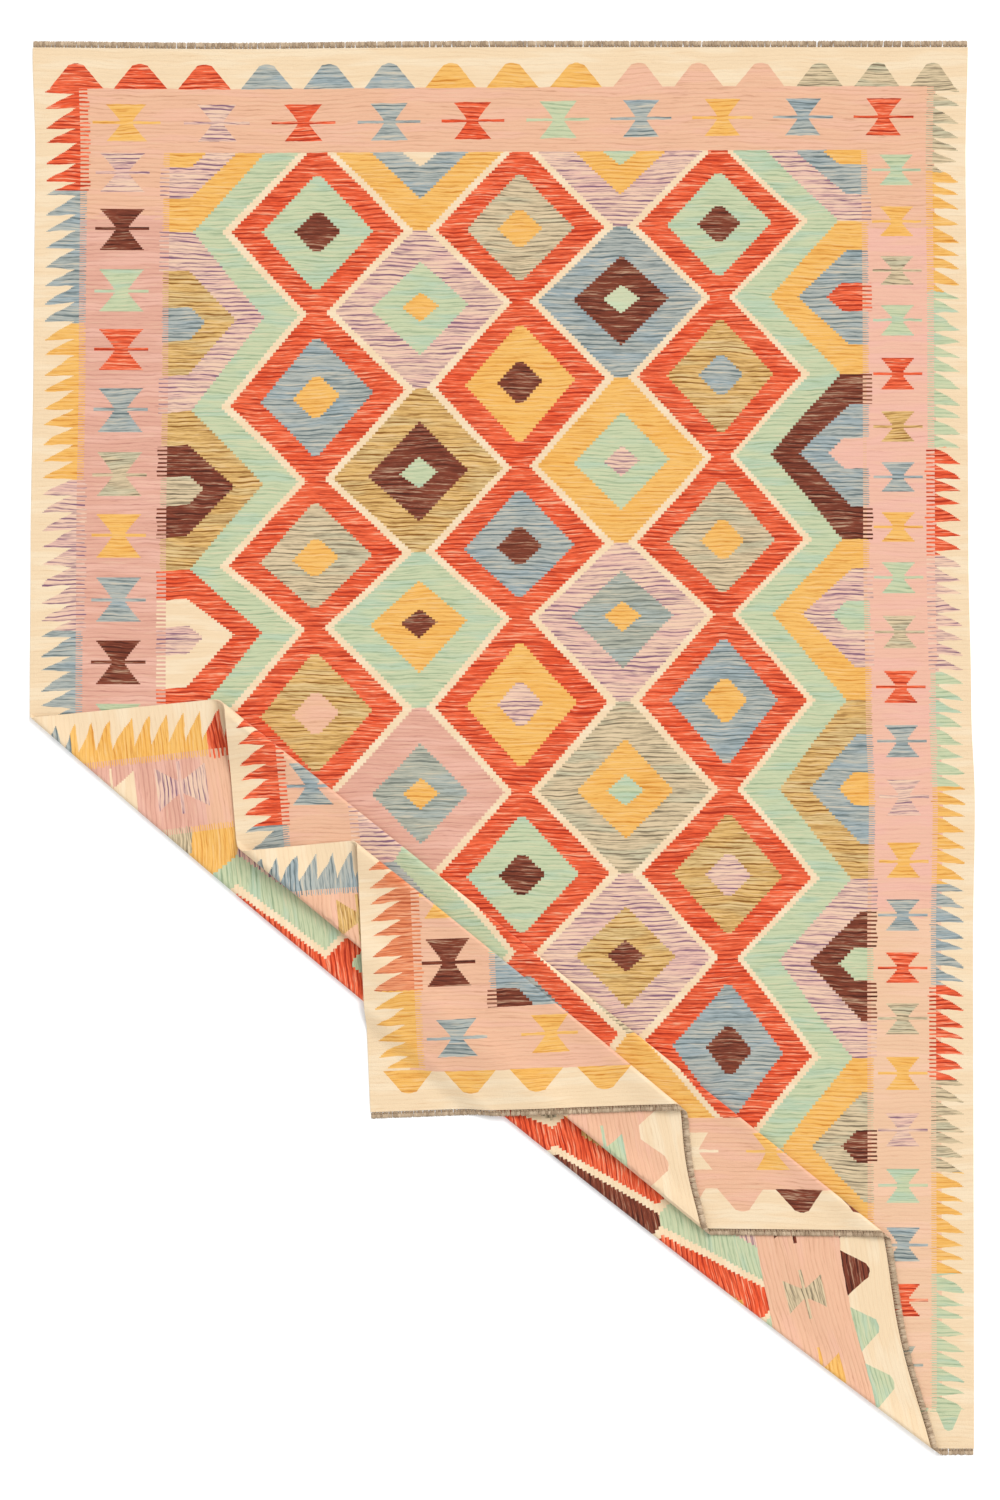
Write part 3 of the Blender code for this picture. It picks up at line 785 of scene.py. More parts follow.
def cloth_faces(rows, columns, rim):
    """Both faces of the cloth, its edge, and a fan to the corner on each side."""
    grid = rows * columns
    edge = 2 * grid + np.arange(len(rim))
    top_tip, bottom_tip = edge[-1] + 1, edge[-1] + 2
    face_up = grid_faces(rows, columns)
    parts = (face_up, face_up[:, ::-1] + grid, strip_faces(rim, edge), strip_faces(edge, grid + rim))
    faces = [tuple(face) for part in parts for face in part.tolist()]
    fan = range(grid - columns, grid - 1)
    faces += [(place, top_tip, place + 1) for place in fan]
    faces += [(grid + place, grid + place + 1, bottom_tip) for place in fan]
    faces.append((rim[0], top_tip, bottom_tip, grid + rim[0], edge[0]))
    faces.append((rim[-1], edge[-1], grid + rim[-1], bottom_tip, top_tip))
    return faces


def edge_direction(middle, rim):
    """From the cloth outwards at each vertex of its rim."""
    columns = middle.shape[1]
    row, column = rim // columns, rim % columns
    inner_column = np.where(row == 0, column, np.clip(column, 1, columns - 2))
    return unit(middle[row, column] - middle[np.maximum(row, 1), inner_column])


def raised(u, v, height):
    """A place so high above the cloth's middle surface, along its normal."""
    across = place_on_rug(u + PROBE, v) - place_on_rug(u - PROBE, v)
    down = place_on_rug(u, v + PROBE) - place_on_rug(u, v - PROBE)
    return place_on_rug(u, v) + unit(np.cross(down, across)) * height[..., None] + rug_shift()


def tie_warp_ends(name, start, outward, sizes):
    """A row of knots, and the cut warp yarns that stand out of each.

    A knot is a squashed ball.  A yarn is a tapered tube: rings of points
    carried along the warp, thinner to its tip, its end closed by a fan.
    """
    rng = np.random.default_rng(SEED)
    count = round(CLOTH_WIDTH / sizes.knot_pitch)
    middle = (np.arange(count) + 0.5) * CLOTH_WIDTH / count + rng.normal(0.0, KNOT_WANDER, count)
    middle = np.clip(middle, KNOT_MARGIN, CLOTH_WIDTH - KNOT_MARGIN)
    points, tones, faces, base = [], [], [], 0
    for across, out, height, tone in (knots(middle, sizes, rng), yarns(middle, sizes, rng)):
        v = start + outward * out
        points.append(raised(across.ravel(), v.ravel(), height.ravel()))
        tones.append(np.stack((tone.ravel(), out.ravel(), across.ravel()), -1))
        faces += (tube_faces(*across.shape) + base).tolist()
        base += across.size
    if outward < 0.0:
        faces = [face[::-1] for face in faces]
    piece = new_piece(name, np.concatenate(points), faces)
    store(piece, "yarn", np.concatenate(tones))
    return piece


def tube_faces(count, rings, sides):
    """Faces of many closed tubes: their walls, and a fan over each end ring."""
    ring = np.arange(rings - 1)[:, None] * sides
    side = np.arange(sides)
    after = (side + 1) % sides
    walls = np.stack((ring + side, ring + after, ring + sides + after, ring + sides + side), -1)
    first = np.arange(1, sides - 2, 2)
    fan = np.stack((0 * first, first, first + 1, first + 2), -1)
    faces = np.concatenate((walls.reshape(-1, 4), fan[:, ::-1], fan + (rings - 1) * sides))
    return (faces + np.arange(count)[:, None, None] * rings * sides).reshape(-1, 4)


def one_each(values):
    """Numbers that hold for a whole knot or yarn, all around and along it."""
    return values[:, None, None]


def around(sides):
    """The angles of the points of a ring."""
    return (2.0 * np.pi * np.arange(sides) / sides)[None, None, :]


def knots(middle, sizes, rng):
    """Squashed balls: rings from the cloth outwards, sides around."""
    polar = np.pi * (0.04 + 0.92 * np.linspace(0.0, 1.0, KNOT_RINGS))[None, :, None]
    size = one_each(1.0 + rng.normal(0.0, KNOT_UNEVEN, len(middle)))
    width = 0.50 * sizes.knot_pitch * size
    across = one_each(middle) + width * np.sin(polar) * np.cos(around(KNOT_SIDES))
    out = SEAM_GAP + sizes.knot_length / 2 * (1.0 - np.cos(polar)) + 0.0 * across
    height = sizes.knot_height * size * np.sin(polar) * np.sin(around(KNOT_SIDES))
    tone = 0.25 * one_each(rng.random(len(middle))) + 0.0 * across
    return across, out, np.maximum(height, LOWEST), tone


def yarns(middle, sizes, rng):
    """Cut yarns, a few to a knot, spread a little like a small brush."""
    each = YARNS_PER_KNOT
    place = (np.arange(each) - (each - 1) / 2) / each
    root = (middle[:, None] + YARN_SPAN * sizes.knot_pitch * place).ravel()
    spread = rng.normal(0.0, YARN_SCATTER, root.size) + np.tile(place, len(middle)) * YARN_FAN
    lean = np.repeat(rng.normal(0.0, YARN_LEAN, len(middle)), each)
    along_yarn = np.linspace(0.0, 1.0, len(YARN_TAPER))[None, :, None]
    start = sizes.knot_length * YARN_ROOT
    length = END_REACH - start - one_each(np.abs(rng.normal(0.0, YARN_CUT, root.size)))
    thick = sizes.yarn_thickness / 2 * one_each(1.0 + rng.normal(0.0, YARN_UNEVEN, root.size))
    radius = thick * np.array(YARN_TAPER)[None, :, None]
    drift = one_each(spread + lean) * along_yarn**YARN_CURVE
    across = one_each(root) + drift + radius * np.cos(around(YARN_SIDES))
    across = np.clip(across, YARN_MARGIN, CLOTH_WIDTH - YARN_MARGIN)
    out = start + length * along_yarn + 0.0 * across
    level = one_each(rng.normal(0.0, YARN_SCATTER_UP, root.size)) - YARN_DROP
    height = np.maximum(level + radius * np.sin(around(YARN_SIDES)), LOWEST)
    bundle = np.repeat(rng.random(len(middle)), each)
    tone = one_each(0.75 * bundle + 0.30 * rng.random(root.size)) + 0.0 * across
    return across, out, height, tone


# ---- materials --------------------------------------------------------------------


def linear(colour):
    """Scene-linear red, green and blue of a screen colour such as 0xFBDDB1."""
    parts = np.array([(colour >> shift) & 255 for shift in (16, 8, 0)]) / 255.0
    low = parts / 12.92
    high = ((parts + 0.055) / 1.055) ** 2.4
    return tuple(np.where(parts <= 0.04045, low, high).tolist())


class Nodes:
    """The nodes of one material."""

    def __init__(self, name):
        self.material = bpy.data.materials.new(name)
        self.material.use_nodes = True
        self.tree = self.material.node_tree
        self.shader = self.tree.nodes["Principled BSDF"]

    def add(self, kind, settings=None, sockets=None):
        """Adds a node, sets it up and gives its sockets numbers or links."""
        node = self.tree.nodes.new(kind)
        for key, value in (settings or {}).items():
            if key == "stops":
                self.set_stops(node.color_ramp, value)
            else:
                setattr(node, key, value)
        for key, value in (sockets or {}).items():
            self.feed(node.inputs[key], value)
        return node

    def set_stops(self, ramp, stops):
        """Fills a ramp that holds each colour up to the next stop."""
        ramp.interpolation = "CONSTANT"
        for _ in range(len(stops) - 2):
            ramp.elements.new(0.5)
        for index, (place, colour) in enumerate(stops):
            ramp.elements[index].position = place
            ramp.elements[index].color = (*colour, 1.0)

    def feed(self, socket, value):
        """Links a value or a socket, or sets a plain number or colour."""
        if isinstance(value, Value):
            value = value.socket
        if isinstance(value, bpy.types.NodeSocket):
            self.tree.links.new(value, socket)
        else:
            socket.default_value = value

    def surface(self, colour, relief, depth, distance, rough, shine):
        """Gives the shader its colour, its relief, its roughness and its shine."""
        sockets = {"Strength": depth, "Distance": distance, "Height": relief}
        bump = self.add("ShaderNodeBump", None, sockets)
        self.feed(self.shader.inputs["Base Color"], colour)
        self.feed(self.shader.inputs["Normal"], bump.outputs[0])
        self.feed(self.shader.inputs["Roughness"], rough)
        self.shader.inputs["Specular IOR Level"].default_value = shine

    def stored(self, name):
        """The three numbers that a piece keeps at its vertices."""
        kept = self.add("ShaderNodeAttribute", {"attribute_name": name})
        parts = self.add("ShaderNodeSeparateXYZ", None, {0: kept.outputs["Vector"]})
        return [Value(self, socket) for socket in parts.outputs]

    def vector(self, x, y, z=0.0):
        """Three numbers as one vector or one colour."""
        return self.add("ShaderNodeCombineXYZ", None, {0: x, 1: y, 2: z}).outputs[0]

    def noise(self, x, y, detail=2.0, z=0.0, roughness=0.5):
        """Noise whose coordinates are already scaled."""
        sockets = {"Vector": self.vector(x, y, z), "Scale": 1.0}
        sockets.update({"Detail": detail, "Roughness": roughness})
        return Value(self, self.add("ShaderNodeTexNoise", None, sockets).outputs[0])

    def cloud(self, x, y, form, number=1.0):
        """Noise of one of the kinds above, other for every number of its seed."""
        seed = number * form.seed
        return self.noise(x * form.across, y * form.down, form.detail, seed, form.rough)

    def palette(self, number, colours):
        """The colour that stands at a place of a list."""
        count = len(colours)
        stops = [(index / count, colour) for index, colour in enumerate(colours)]
        place = (number + 0.5) / count
        return self.add("ShaderNodeValToRGB", {"stops": stops}, {0: place}).outputs[0]

    def pick(self, number, choices):
        """The number that stands at a place of a list."""
        return Value(self, self.palette(number, [(choice,) * 3 for choice in choices]))

    def mixed(self, part, one, other, blend="MIX"):
        """A colour between two colours, or their product."""
        settings = {"data_type": "RGBA", "blend_type": blend}
        return self.add("ShaderNodeMix", settings, {0: part, 6: one, 7: other}).outputs[2]


def operation(name, swapped=False):
    """A method that does one sum on a varying number and others."""

    def work(self, *others):
        numbers = (*others, self) if swapped else (self, *others)
        sockets = dict(enumerate(numbers))
        node = self.nodes.add("ShaderNodeMath", {"operation": name}, sockets)
        return Value(self.nodes, node.outputs[0])

    return work


class Value:
    """A number that varies over a surface, with the usual arithmetic.

    A mask is a number that is 1 where something holds and 0 elsewhere.
    """

    __add__ = operation("ADD")
    __radd__ = operation("ADD", True)
    __sub__ = operation("SUBTRACT")
    __rsub__ = operation("SUBTRACT", True)
    __mul__ = operation("MULTIPLY")
    __rmul__ = operation("MULTIPLY", True)
    __truediv__ = operation("DIVIDE")
    __pow__ = operation("POWER")
    __mod__ = operation("FLOORED_MODULO")
    __abs__ = operation("ABSOLUTE")
    __lt__ = operation("LESS_THAN")
    __gt__ = operation("GREATER_THAN")
    __and__ = operation("MULTIPLY")
    __or__ = operation("MAXIMUM")
    floor = operation("FLOOR")
    sine = operation("SINE")
    least = operation("MINIMUM")
    most = operation("MAXIMUM")

    def __init__(self, nodes, socket):
        self.nodes = nodes
        self.socket = socket

    def __invert__(self):
        return 1.0 - self

    def nearest(self):
        """The nearest whole number."""
        return (self + 0.5).floor()

    def soft(self, low, high):
        """0 below low, 1 above high and an even S between."""
        sockets = {0: self, 1: low, 2: high}
        node = self.nodes.add("ShaderNodeMapRange", {"interpolation_type": "SMOOTHSTEP"}, sockets)
        return Value(self.nodes, node.outputs[0])

    def painted(self, mask, new):
        """Another number where the mask is 1."""
        node = self.nodes.add("ShaderNodeMix", {"data_type": "FLOAT"}, {0: mask, 2: self, 3: new})
        return Value(self.nodes, node.outputs[0])


def dye_number(letter):
    """A dye's place in DYES; capitals stand for their own small letters."""
    return "".join(dye.letter for dye in DYES).index(letter.lower())


def dye_levels(letters):
    """Grey levels that carry dye numbers through a ramp."""
    return [(dye_number(letter) + 0.5) / len(DYES) for letter in letters]


def charted(nodes, number, *words):
    """The dye that the chart's words give at a place, as a level."""
    return nodes.pick(number, dye_levels("".join(words)))


def level(letter):
    """One dye's level."""
    return dye_levels(letter)[0]


def number_of(dye):
    """A level's place in DYES."""
    return (dye * float(len(DYES))).floor()


def rise_at(x, rise):
    """How much a line has risen at a place."""
    return x.soft(rise.start, rise.stop) * rise.amount


def stepped(number, tread):
    """The same number in even steps, so that slopes become stairs."""
    return ((number / tread).floor() + 0.5) * tread


def joint(nodes, y, coarse, length):
    """How far a colour reaches into its neighbour: long teeth of a coarse comb,
    or short ones at every other weft, which look like a soft change."""
    teeth = (((y / COMB_PITCH) % 1.0) < COMB_SHARE) * length
    teeth = teeth * (0.7 + 0.6 * nodes.noise(y * 0.09, 7.0))
    wefts = ((y / WEFT_PITCH) % 1.0) < WEFT_SHARE
    wefts = wefts * (2.0 + 8.0 * nodes.noise(y * 0.31, 2.0))
    return coarse * teeth + (1.0 - coarse) * wefts


def nearest_motif(nodes, place, row):
    """How far off a row's nearest motif is, in pitches, where the row runs,
    and the motif's dye."""
    last = len(row.dyes) - 1.0
    number = place.nearest()
    within = (place > -ROW_SPARE) & (place < last + ROW_SPARE)
    dye = charted(nodes, number.most(0.0).least(last), row.dyes)
    return abs(place - number), within, dye


def bell_shape(off, down):
    """A dome on the band: its half width grows evenly from a rounded top."""
    half = (down * BELL_SLOPE + BELL_FOOT).least(down * BELL_TOP_SLOPE + BELL_TOP)
    return (down > 0.0) & (off * BELL_PITCH < half)


def bow_tie(dx, dy, row):
    """Two facing fans that meet at a neck, with a thin bar through it.

    From the neck, the half width grows as a power of dy / high.
    """
    grown = row.wide * (1.0 - TIE_NECK) * (dy / row.high) ** TIE_CURVE
    body = (dx < row.wide * TIE_NECK + grown) & (dy < row.high)
    return body | ((dx < row.wide + row.bar) & (dy < TIE_BAR))


def saw_teeth(nodes, x, y, teeth, outward, row):
    """Fins along a side: each grows outwards as it goes down, to a tip, and a
    comb of level lines joins their root to the band.

    A fin's length is its reach times 1 - (1 - the share of it passed) to a
    power.  Gives where the fins are, and their dye.
    """
    last = len(row.dyes) - 1.0
    number = teeth.floor().most(0.0).least(last)
    uneven = nodes.cloud(x, y, TOOTH_DRIFT) - 0.5
    passed = ((y - TEETH_START) / row.pitch + uneven * row.wander) % 1.0
    reach = row.reach * (1.0 - (1.0 - passed) ** TOOTH_CURVE)
    move = y.soft(row.start, row.stop)
    past_tip = (x - row.tip - move * row.tip_move) * outward
    inside_root = (row.root + move * row.root_move - x) * outward
    coarse = nodes.pick(number, [DYES[dye_number(letter)].comb for letter in row.dyes])
    fins = (past_tip < reach - uneven * TIP_WANDER) & (teeth > 0.0) & (teeth < last + 1.0)
    fins = fins & (inside_root < joint(nodes, y, coarse, row.comb))
    return fins, charted(nodes, number, row.dyes)


def border_dyes(nodes, x, y, edge, end_tie):
    """The ground, band, teeth, bells and bow-ties around the field."""
    bell, side_tie, teeth = edge
    leftish = x < MIDDLE_X
    upper = y < MIDDLE_Y
    top = BAND.top - rise_at(x, BAND_RISE)
    in_band = (x > BAND.left - LEFT_SPARE) & (x < BAND.right + RIGHT_SPARE)
    in_band = in_band & (y > top) & (y < BAND.bottom)
    dye = in_band * (level(BAND_GROUND) - level(OUTER_GROUND)) + level(OUTER_GROUND)
    ragged = nodes.cloud(x, y, PATCH_EDGE) - 0.5
    for patch in BAND_PATCHES:
        inside = (x > patch.left) & (x < patch.right) & (y < patch.bottom)
        inside = inside & (y + ragged * patch.ragged > patch.top) & in_band
        dye = dye.painted(inside, level(patch.dye))
    for row, side, outward in ((LEFT_TEETH, leftish, -1.0), (RIGHT_TEETH, ~leftish, 1.0)):
        fins, new = saw_teeth(nodes, x, y, teeth, outward, row)
        dye = dye.painted(fins & side, new)
    for row, down, outside in (
        (TOP_BELLS, y - TOP_BELLS.tip, y < top + BELL_OVERLAP),
        (BOTTOM_BELLS, BOTTOM_BELLS.tip - y, y > BAND.bottom - BELL_OVERLAP),
    ):
        off, within, new = nearest_motif(nodes, bell, row)
        dye = dye.painted(bell_shape(off, down) & outside & within, new)
    for row, side in ((LEFT_TIES, leftish), (RIGHT_TIES, ~leftish)):
        off, within, new = nearest_motif(nodes, side_tie, row)
        tie = bow_tie(abs(x - row.line), off * row.pitch, row)
        dye = dye.painted(tie & side & within, new)
    for row, half, rise in (
        (TOP_TIES, upper, rise_at(x, TOP_TIE_RISE)),
        (BOTTOM_TIES, ~upper, x * BOTTOM_TIE_SLOPE),
    ):
        off, within, new = nearest_motif(nodes, end_tie, row)
        tie = bow_tie(off * row.pitch, abs(y - row.line + rise), row)
        dye = dye.painted(tie & half & within, new)
    return dye


def diamond(across, down, form, size=1.0):
    """Where the two shares of a diamond's half width and height add up to less
    than its size, with its points cut off."""
    return (across / form.wide + down / form.high < size) & (down < form.cut)


def field_dyes(nodes, x, p, row):
    """Red chains, the diamonds in and between them, and the side cells.

    p is the even column place.  dx is the distance from a chain's middle, and
    wide is 0 at a chain's neck and 1 where it is widest.
    """
    place = (p - FIRST_CHAIN) / CHAIN_PITCH
    chain = place.nearest().most(0.0).least(2.0)
    dx = abs(p - FIRST_CHAIN - chain * CHAIN_PITCH)
    wide = ~abs(row % 2.0 - 1.0)
    from_neck = wide * ROW_HEIGHT
    from_wide = ~wide * ROW_HEIGHT
    between = place.floor().most(0.0).least(1.0)
    half_row = ((row + 1.0) / 2.0).floor()
    number = between * ROWS_PER_WORD + half_row
    uneven = nodes.noise(number * 7.31, 3.0 + between) * BETWEEN_UNEVEN
    from_middle = CHAIN_PITCH / 2 - dx
    dye = charted(nodes, number, *OTHER_OUTER)
    for form, words in ((BETWEEN_INNER, OTHER_INNER), (BETWEEN_MIDDLE, OTHER_MIDDLE)):
        inside = diamond(from_middle, from_neck, form, uneven + BETWEEN_SMALLEST)
        dye = dye.painted(inside, charted(nodes, number, *words))
    on_right = p > FIRST_CHAIN + CHAIN_PITCH
    side = (p < FIRST_CHAIN) | (p > FIRST_CHAIN + 2.0 * CHAIN_PITCH)
    from_border = (x - FIELD.left).least(COLUMN_EVEN[-1] - p)
    number = on_right * ROWS_PER_WORD + half_row
    dye = dye.painted(side, charted(nodes, number, *SIDE_OUTER))
    for form, words in ((BORDER_MIDDLE, SIDE_MIDDLE), (BORDER_INNER, SIDE_INNER)):
        inside = from_border + from_neck < form.reach + on_right * form.more_reach
        inside = inside & (from_neck < form.high + on_right * form.more_high) & side
        dye = dye.painted(inside, charted(nodes, number, *words))
    thinner = (p > COLUMN_EVEN[5]) * LAST_CHAIN_THINNER
    for stripe, near in (
        (MINT_STRIPE, side & (dx < MINT_STRIPE.neck + wide * MINT_STRIPE.gain)),
        (CREAM_STRIPE, dx + thinner < CREAM_STRIPE.neck + wide * CREAM_STRIPE.gain),
        (RED_STRIPE, dx < RED_STRIPE.neck + wide * RED_STRIPE.gain),
    ):
        dye = dye.painted(near, level(stripe.dye))
    number = chain * ROWS_PER_WORD + (row / 2.0).floor()
    for form, words in ((RED_INNER, CHAIN_INNER), (RED_MIDDLE, CHAIN_MIDDLE)):
        dye = dye.painted(diamond(dx, from_wide, form), charted(nodes, number, *words))
    return dye


def woven_dyes(nodes, x, y):
    """The dye's level at every place of the cloth: the field in its border."""
    p, row, end_tie = nodes.stored("field")
    edge = nodes.stored("edge")
    drift = nodes.cloud(x, y, SLOPE_DRIFT) - 0.5
    loose = nodes.cloud(x, y, LOOSE_WEFT) - 0.5
    slope = stepped(p, TREAD) + drift * SLOPE_WANDER
    beat = y + loose * LOOSENESS
    field = field_dyes(nodes, stepped(x, TREAD), slope, row + loose * ROW_LOOSENESS)
    border = border_dyes(nodes, stepped(x, FINE_TREAD), beat, edge, end_tie)
    coarse = nodes.pick(number_of(field), [dye.comb for dye in DYES])
    hatch = joint(nodes, y, coarse, FIELD_COMB)
    in_field = (x > FIELD.left - hatch) & (x < FIELD.right + hatch)
    in_field = in_field & (beat > FIELD.top - rise_at(x, FIELD_RISE))
    in_field = in_field & (beat < FIELD.bottom - (x - FIELD.left) * BOTTOM_SLOPE)
    return border.painted(in_field, field)


def wool(dyes):
    """Dyed wool in weft-faced weave: grooves that follow the wefts' waves, darkened
    with painted shade, pale wefts that are partly a painted highlight on the ridges
    between them, lines of single wefts, patches that are more streaked, and two dye baths."""
    nodes = Nodes("kilim_weave")
    x, y, _ = nodes.stored("flat")
    number = number_of(woven_dyes(nodes, x, y))
    wave = y + 16.0 * nodes.cloud(x, y, LONG_WAVE) + 4.0 * nodes.cloud(x, y, SHORT_WAVE)
    lines = nodes.cloud(x, wave, WEFT_LINES, number)
    fine = nodes.cloud(x, wave, FINE_LINES, number)
    bath = nodes.cloud(x, wave, DYE_BATH, number)
    patch = nodes.cloud(x, wave, STREAKY_PATCH, number).soft(0.40, 0.62)
    turn = wave * GROOVES + 5.0 * nodes.cloud(x, y, GROOVE_DRIFT, number)
    groove = (turn.sine() + (lines - 0.5) * 1.6).soft(0.25, 0.95)
    groove_depth_and_shade = nodes.pick(number, [dye.groove for dye in DYES])
    more = nodes.pick(number, [0.5 + dye.streaks for dye in DYES]) - 0.5
    thread = lines * 0.7 + fine * 0.3
    # Painted shade: the grooves are darkened towards the streak colour; the second part is the wool's
    # own dark streaks.
    streak = groove * groove_depth_and_shade * (0.30 + 0.70 * patch) + (thread + more).soft(0.50, 0.60) * 0.55
    # Pale wefts: partly paler yarn, partly a painted highlight on the ridges between the grooves.
    pale = thread.soft(0.48, 0.36) * (1.0 - groove) * groove_depth_and_shade * PALE_AND_HIGHLIGHT_SHARE
    body, dark, other = (
        nodes.palette(number, [tuple(getattr(dyes, dye.name + end)) for dye in DYES])
        for end in ("", "_streak", "_bath")
    )
    colour = nodes.mixed(bath.soft(0.48, 0.62) * 0.8, body, other)
    colour = nodes.mixed(streak.least(1.0), colour, dark)
    colour = nodes.mixed(pale, colour, (*dyes.cream, 1.0))
    shade = 0.92 + bath * 0.10 + fine * 0.06
    colour = nodes.mixed(1.0, colour, nodes.vector(shade, shade, shade), "MULTIPLY")
    warp = ((x * THREADS + (y * THREADS).floor() * 0.5) * FULL_TURN).sine()
    weft = (y * THREADS * FULL_TURN).sine()
    relief = warp * 0.35 + weft * 0.30 + lines * 1.6 + fine * 1.2 - groove * (0.4 + groove_depth_and_shade)
    nodes.surface(colour, relief, 0.55, 0.0006, 0.84 + fine * 0.14, 0.25)
    nodes.shader.inputs["Sheen Weight"].default_value = 0.12
    nodes.shader.inputs["Sheen Roughness"].default_value = 0.5
    return nodes.material


def warp_yarn(dyes):
    """Undyed yarn: darker in the knots, each cut end a little different."""
    nodes = Nodes("warp_yarn")
    tone, out, across = nodes.stored("yarn")
    fibre = nodes.noise(across * 900.0, out * 260.0, 3.0)
    colour = nodes.mixed(tone * 0.8 + fibre * 0.3, (*dyes.knot, 1.0), (*dyes.warp_end, 1.0))
    twist = (out * 1800.0 + across * 2500.0).sine()
    nodes.surface(colour, twist + fibre, 0.5, 0.0004, 0.85 + fibre * 0.1, 0.2)
    return nodes.material


def floor_paint(colour):
    """A plain pale floor."""
    nodes = Nodes("pale_floor")
    nodes.shader.inputs["Base Color"].default_value = (*colour, 1.0)
    nodes.shader.inputs["Roughness"].default_value = 0.95
    nodes.shader.inputs["Specular IOR Level"].default_value = 0.0
    return nodes.material


# ---- sizes and colours that a user would change ------------------------------------


def size(name, text, default):
    """A length property."""
    return bpy.props.FloatProperty(
        name=name, description=text, default=default, min=0.0, unit="LENGTH", precision=4
    )


def amount(name, text, default, subtype="NONE"):
    """A number property."""
    return bpy.props.FloatProperty(
        name=name, description=text, default=default, min=0.0, subtype=subtype
    )


def tint(name, text, colour, share=DYE_SHARE):
    """A colour property, from the screen colour it should look like."""
    default = tuple(share * part for part in linear(colour))
    return bpy.props.FloatVectorProperty(
        name=name, description=text, default=default, subtype="COLOR", min=0.0, max=1.0
    )


def dye_settings():
    """Three colour properties for every dye."""
    settings = {}
    for dye in DYES:
        label = dye.name.replace("_", " ").capitalize()
        settings[dye.name] = tint(label, dye.note, dye.body)
        # The streak colour also paints the shade in the grooves.
        settings[dye.name + "_streak"] = tint(label + " streak", "Its streaks", dye.streak)
        settings[dye.name + "_bath"] = tint(label + " bath", "Its other dye bath", dye.bath)
    return settings


class KilimSizes(bpy.types.PropertyGroup):
    """Sizes of the cloth and of its knotted ends"""

    thickness: size("Cloth thickness", "Thickness of the woven cloth", CLOTH_THICKNESS)
    edge_roundness: size("Edge roundness", "How far the woven edge stands out", 0.0008)
    knot_pitch: size("Knot pitch", "Distance between two knots", 0.0067)
    knot_length: size("Knot length", "Length of a knot, away from the cloth", 0.0050)
    knot_height: size("Knot height", "Half the height of a knot", 0.0019)
    yarn_thickness: size("Yarn thickness", "Thickness of a cut warp end", 0.0020)


class KilimDyes(bpy.types.PropertyGroup):
    """The tints of every dyed yarn, the undyed warp and the floor"""

    knot: tint("Knot", "Dark undyed warp in the knots", 0x94795E)
    warp_end: tint("Warp end", "Cut undyed warp ends", 0xE2CAAC)
    floor: tint("Floor", "Pale floor", 0xFCFCFC, 1.0)


KilimDyes.__annotations__.update(dye_settings())


class KilimStage(bpy.types.PropertyGroup):
    """The floor, the light and the camera"""

    lens: amount("Lens", "Focal length of the camera in millimetres", 120.0)
    lamp_strength: amount("Lamp strength", "Strength of the soft lamp", 1.95)
    lamp_spread: amount("Lamp spread", "How wide the lamp looks", 0.60, "ANGLE")
    sky: amount("Sky", "Strength of the light from all sides", 0.93)


# ---- operators -----------------------------------------------------------------------


class WeaveCloth(bpy.types.Operator):
    """Weaves the patterned cloth and folds its corner"""

    bl_idname = "kilim.weave_cloth"
    bl_label = "Weave cloth"

    def execute(self, context):
        scene = context.scene
        cloth = weave_cloth(scene.kilim_sizes)
        cloth.data.materials.append(wool(scene.kilim_dyes))
        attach(cloth, "root")
        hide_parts("rug_cloth")
        return {"FINISHED"}


class TieWarpEnds(bpy.types.Operator):
    """Ties the knots at both ends and cuts the warp yarns short"""

    bl_idname = "kilim.tie_warp_ends"
    bl_label = "Tie warp ends"

    def execute(self, context):
        scene = context.scene
        yarn = warp_yarn(scene.kilim_dyes)
        for name, node, start, outward in (
            ("warp_ends_top", "end_knots_top", 0.0, -1.0),
            ("warp_ends_bottom", "end_knots_bottom", CLOTH_LENGTH, 1.0),
        ):
            end = tie_warp_ends(name, start, outward, scene.kilim_sizes)
            end.data.materials.append(yarn)
            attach(end, "root")
            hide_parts(node)
        return {"FINISHED"}


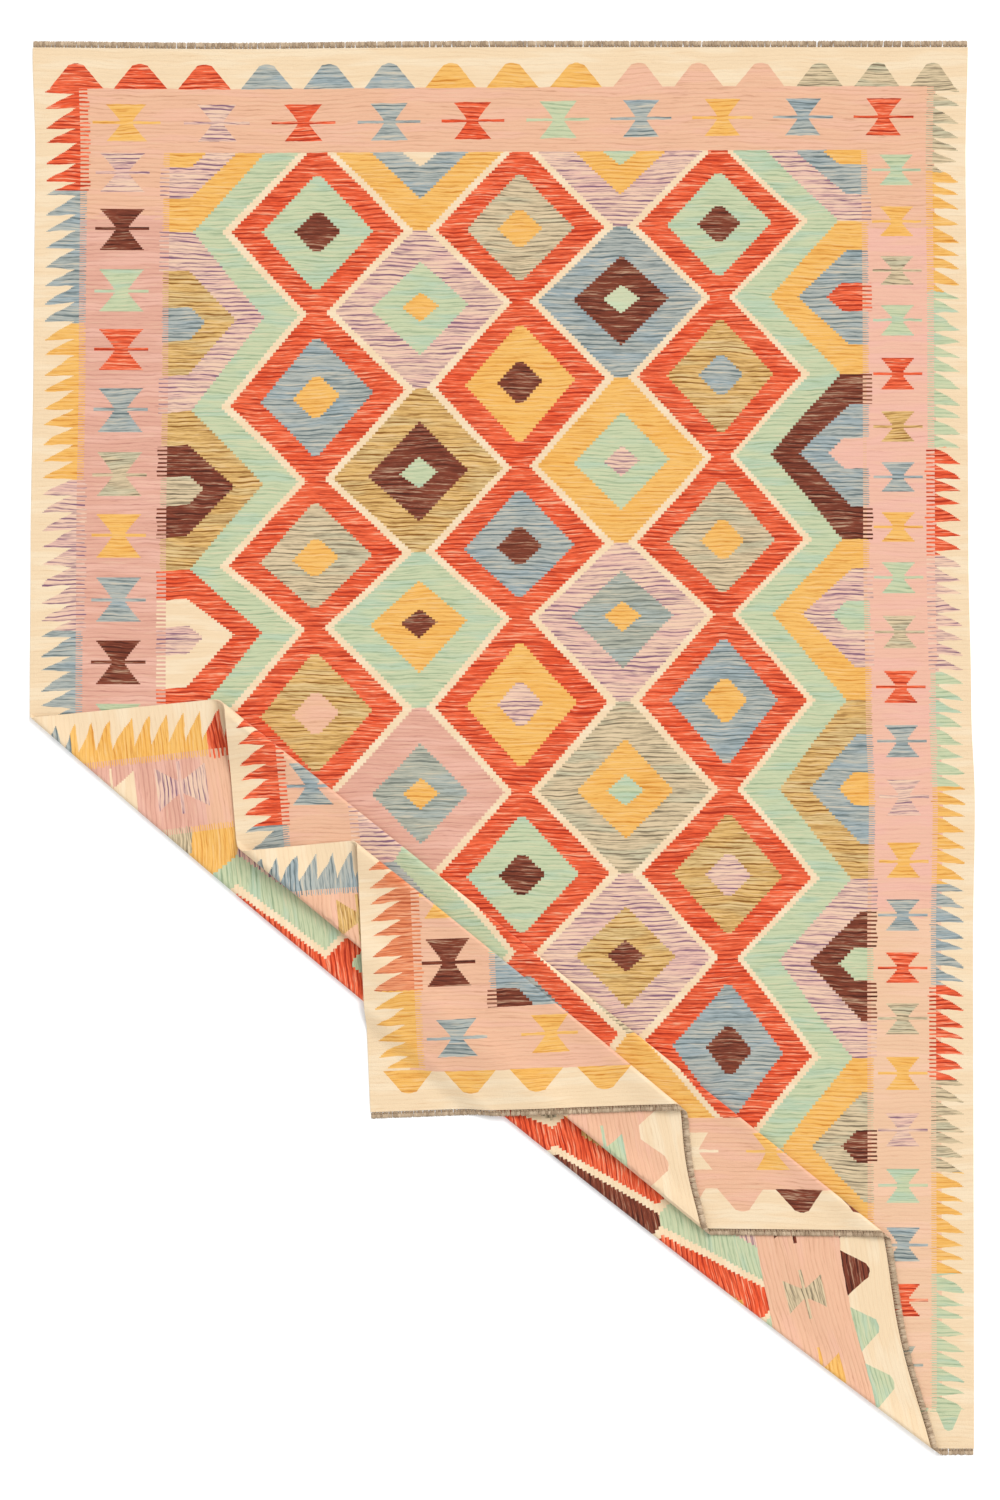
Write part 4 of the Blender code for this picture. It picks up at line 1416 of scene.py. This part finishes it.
class SetStage(bpy.types.Operator):
    """Lays the floor, hangs the soft lamp and sets up the camera"""

    bl_idname = "kilim.set_stage"
    bl_label = "Set stage"

    def execute(self, context):
        scene = context.scene
        settings = scene.kilim_stage
        signs = ((-1, -1), (1, -1), (1, 1), (-1, 1))
        corners = [(x * FLOOR_REACH, y * FLOOR_REACH, 0.0) for x, y in signs]
        floor = new_piece("floor", corners, [(0, 1, 2, 3)])
        floor.data.materials.append(floor_paint(tuple(scene.kilim_dyes.floor)))
        self.hang_lamp(settings)
        self.light_sky(scene, settings)
        self.set_camera(scene, settings)
        return {"FINISHED"}

    def hang_lamp(self, settings):
        lamp = bpy.data.lights.new("soft_lamp", "SUN")
        lamp.angle = settings.lamp_spread
        lamp.energy = settings.lamp_strength
        holder = bpy.data.objects.new("soft_lamp", lamp)
        holder.location = LAMP_PLACE
        holder.rotation_euler = (-holder.location).to_track_quat("-Z", "Y").to_euler()
        bpy.context.scene.collection.objects.link(holder)

    def light_sky(self, scene, settings):
        scene.view_settings.view_transform = "Standard"
        world = bpy.data.worlds.new("pale_sky")
        world.use_nodes = True
        background = world.node_tree.nodes["Background"]
        background.inputs["Color"].default_value = (1.0, 1.0, 1.0, 1.0)
        background.inputs["Strength"].default_value = settings.sky
        scene.world = world

    def set_camera(self, scene, settings):
        data = bpy.data.cameras.new("camera")
        data.sensor_width = FILM
        data.lens = settings.lens
        data.clip_end = FAR_CLIP
        camera = bpy.data.objects.new("camera", data)
        height = PICTURE_HEIGHT * data.lens / FILM
        middle = np.array((MIDDLE_X - MARGIN_X, MARGIN_Y - MIDDLE_Y, height))
        camera.location = middle * CHART_UNIT + rug_shift()
        scene.collection.objects.link(camera)
        scene.camera = camera


class KilimPanel(bpy.types.Panel):
    """Lists the rug's sizes, dyes and steps"""

    bl_idname = "VIEW3D_PT_kilim"
    bl_label = "Kilim rug"
    bl_space_type = "VIEW_3D"
    bl_region_type = "UI"
    bl_category = "Kilim"

    def draw(self, context):
        layout = self.layout
        for group in (context.scene.kilim_sizes, context.scene.kilim_stage, context.scene.kilim_dyes):
            box = layout.box()
            for name in group.__annotations__:
                box.prop(group, name)
        for operator in (WeaveCloth, TieWarpEnds, SetStage):
            layout.operator(operator.bl_idname)


CLASSES = (KilimSizes, KilimDyes, KilimStage, WeaveCloth, TieWarpEnds, SetStage, KilimPanel)


def register():
    """Registers the classes and hangs the settings on the scene."""
    for cls in CLASSES:
        bpy.utils.register_class(cls)
    bpy.types.Scene.kilim_sizes = bpy.props.PointerProperty(type=KilimSizes)
    bpy.types.Scene.kilim_dyes = bpy.props.PointerProperty(type=KilimDyes)
    bpy.types.Scene.kilim_stage = bpy.props.PointerProperty(type=KilimStage)


def unregister():
    """Undoes register."""
    del bpy.types.Scene.kilim_stage
    del bpy.types.Scene.kilim_dyes
    del bpy.types.Scene.kilim_sizes
    for cls in reversed(CLASSES):
        bpy.utils.unregister_class(cls)


def main():
    register()
    bpy.ops.kilim.weave_cloth()
    bpy.ops.kilim.tie_warp_ends()
    bpy.ops.kilim.set_stage()


if __name__ == "__main__":
    main()
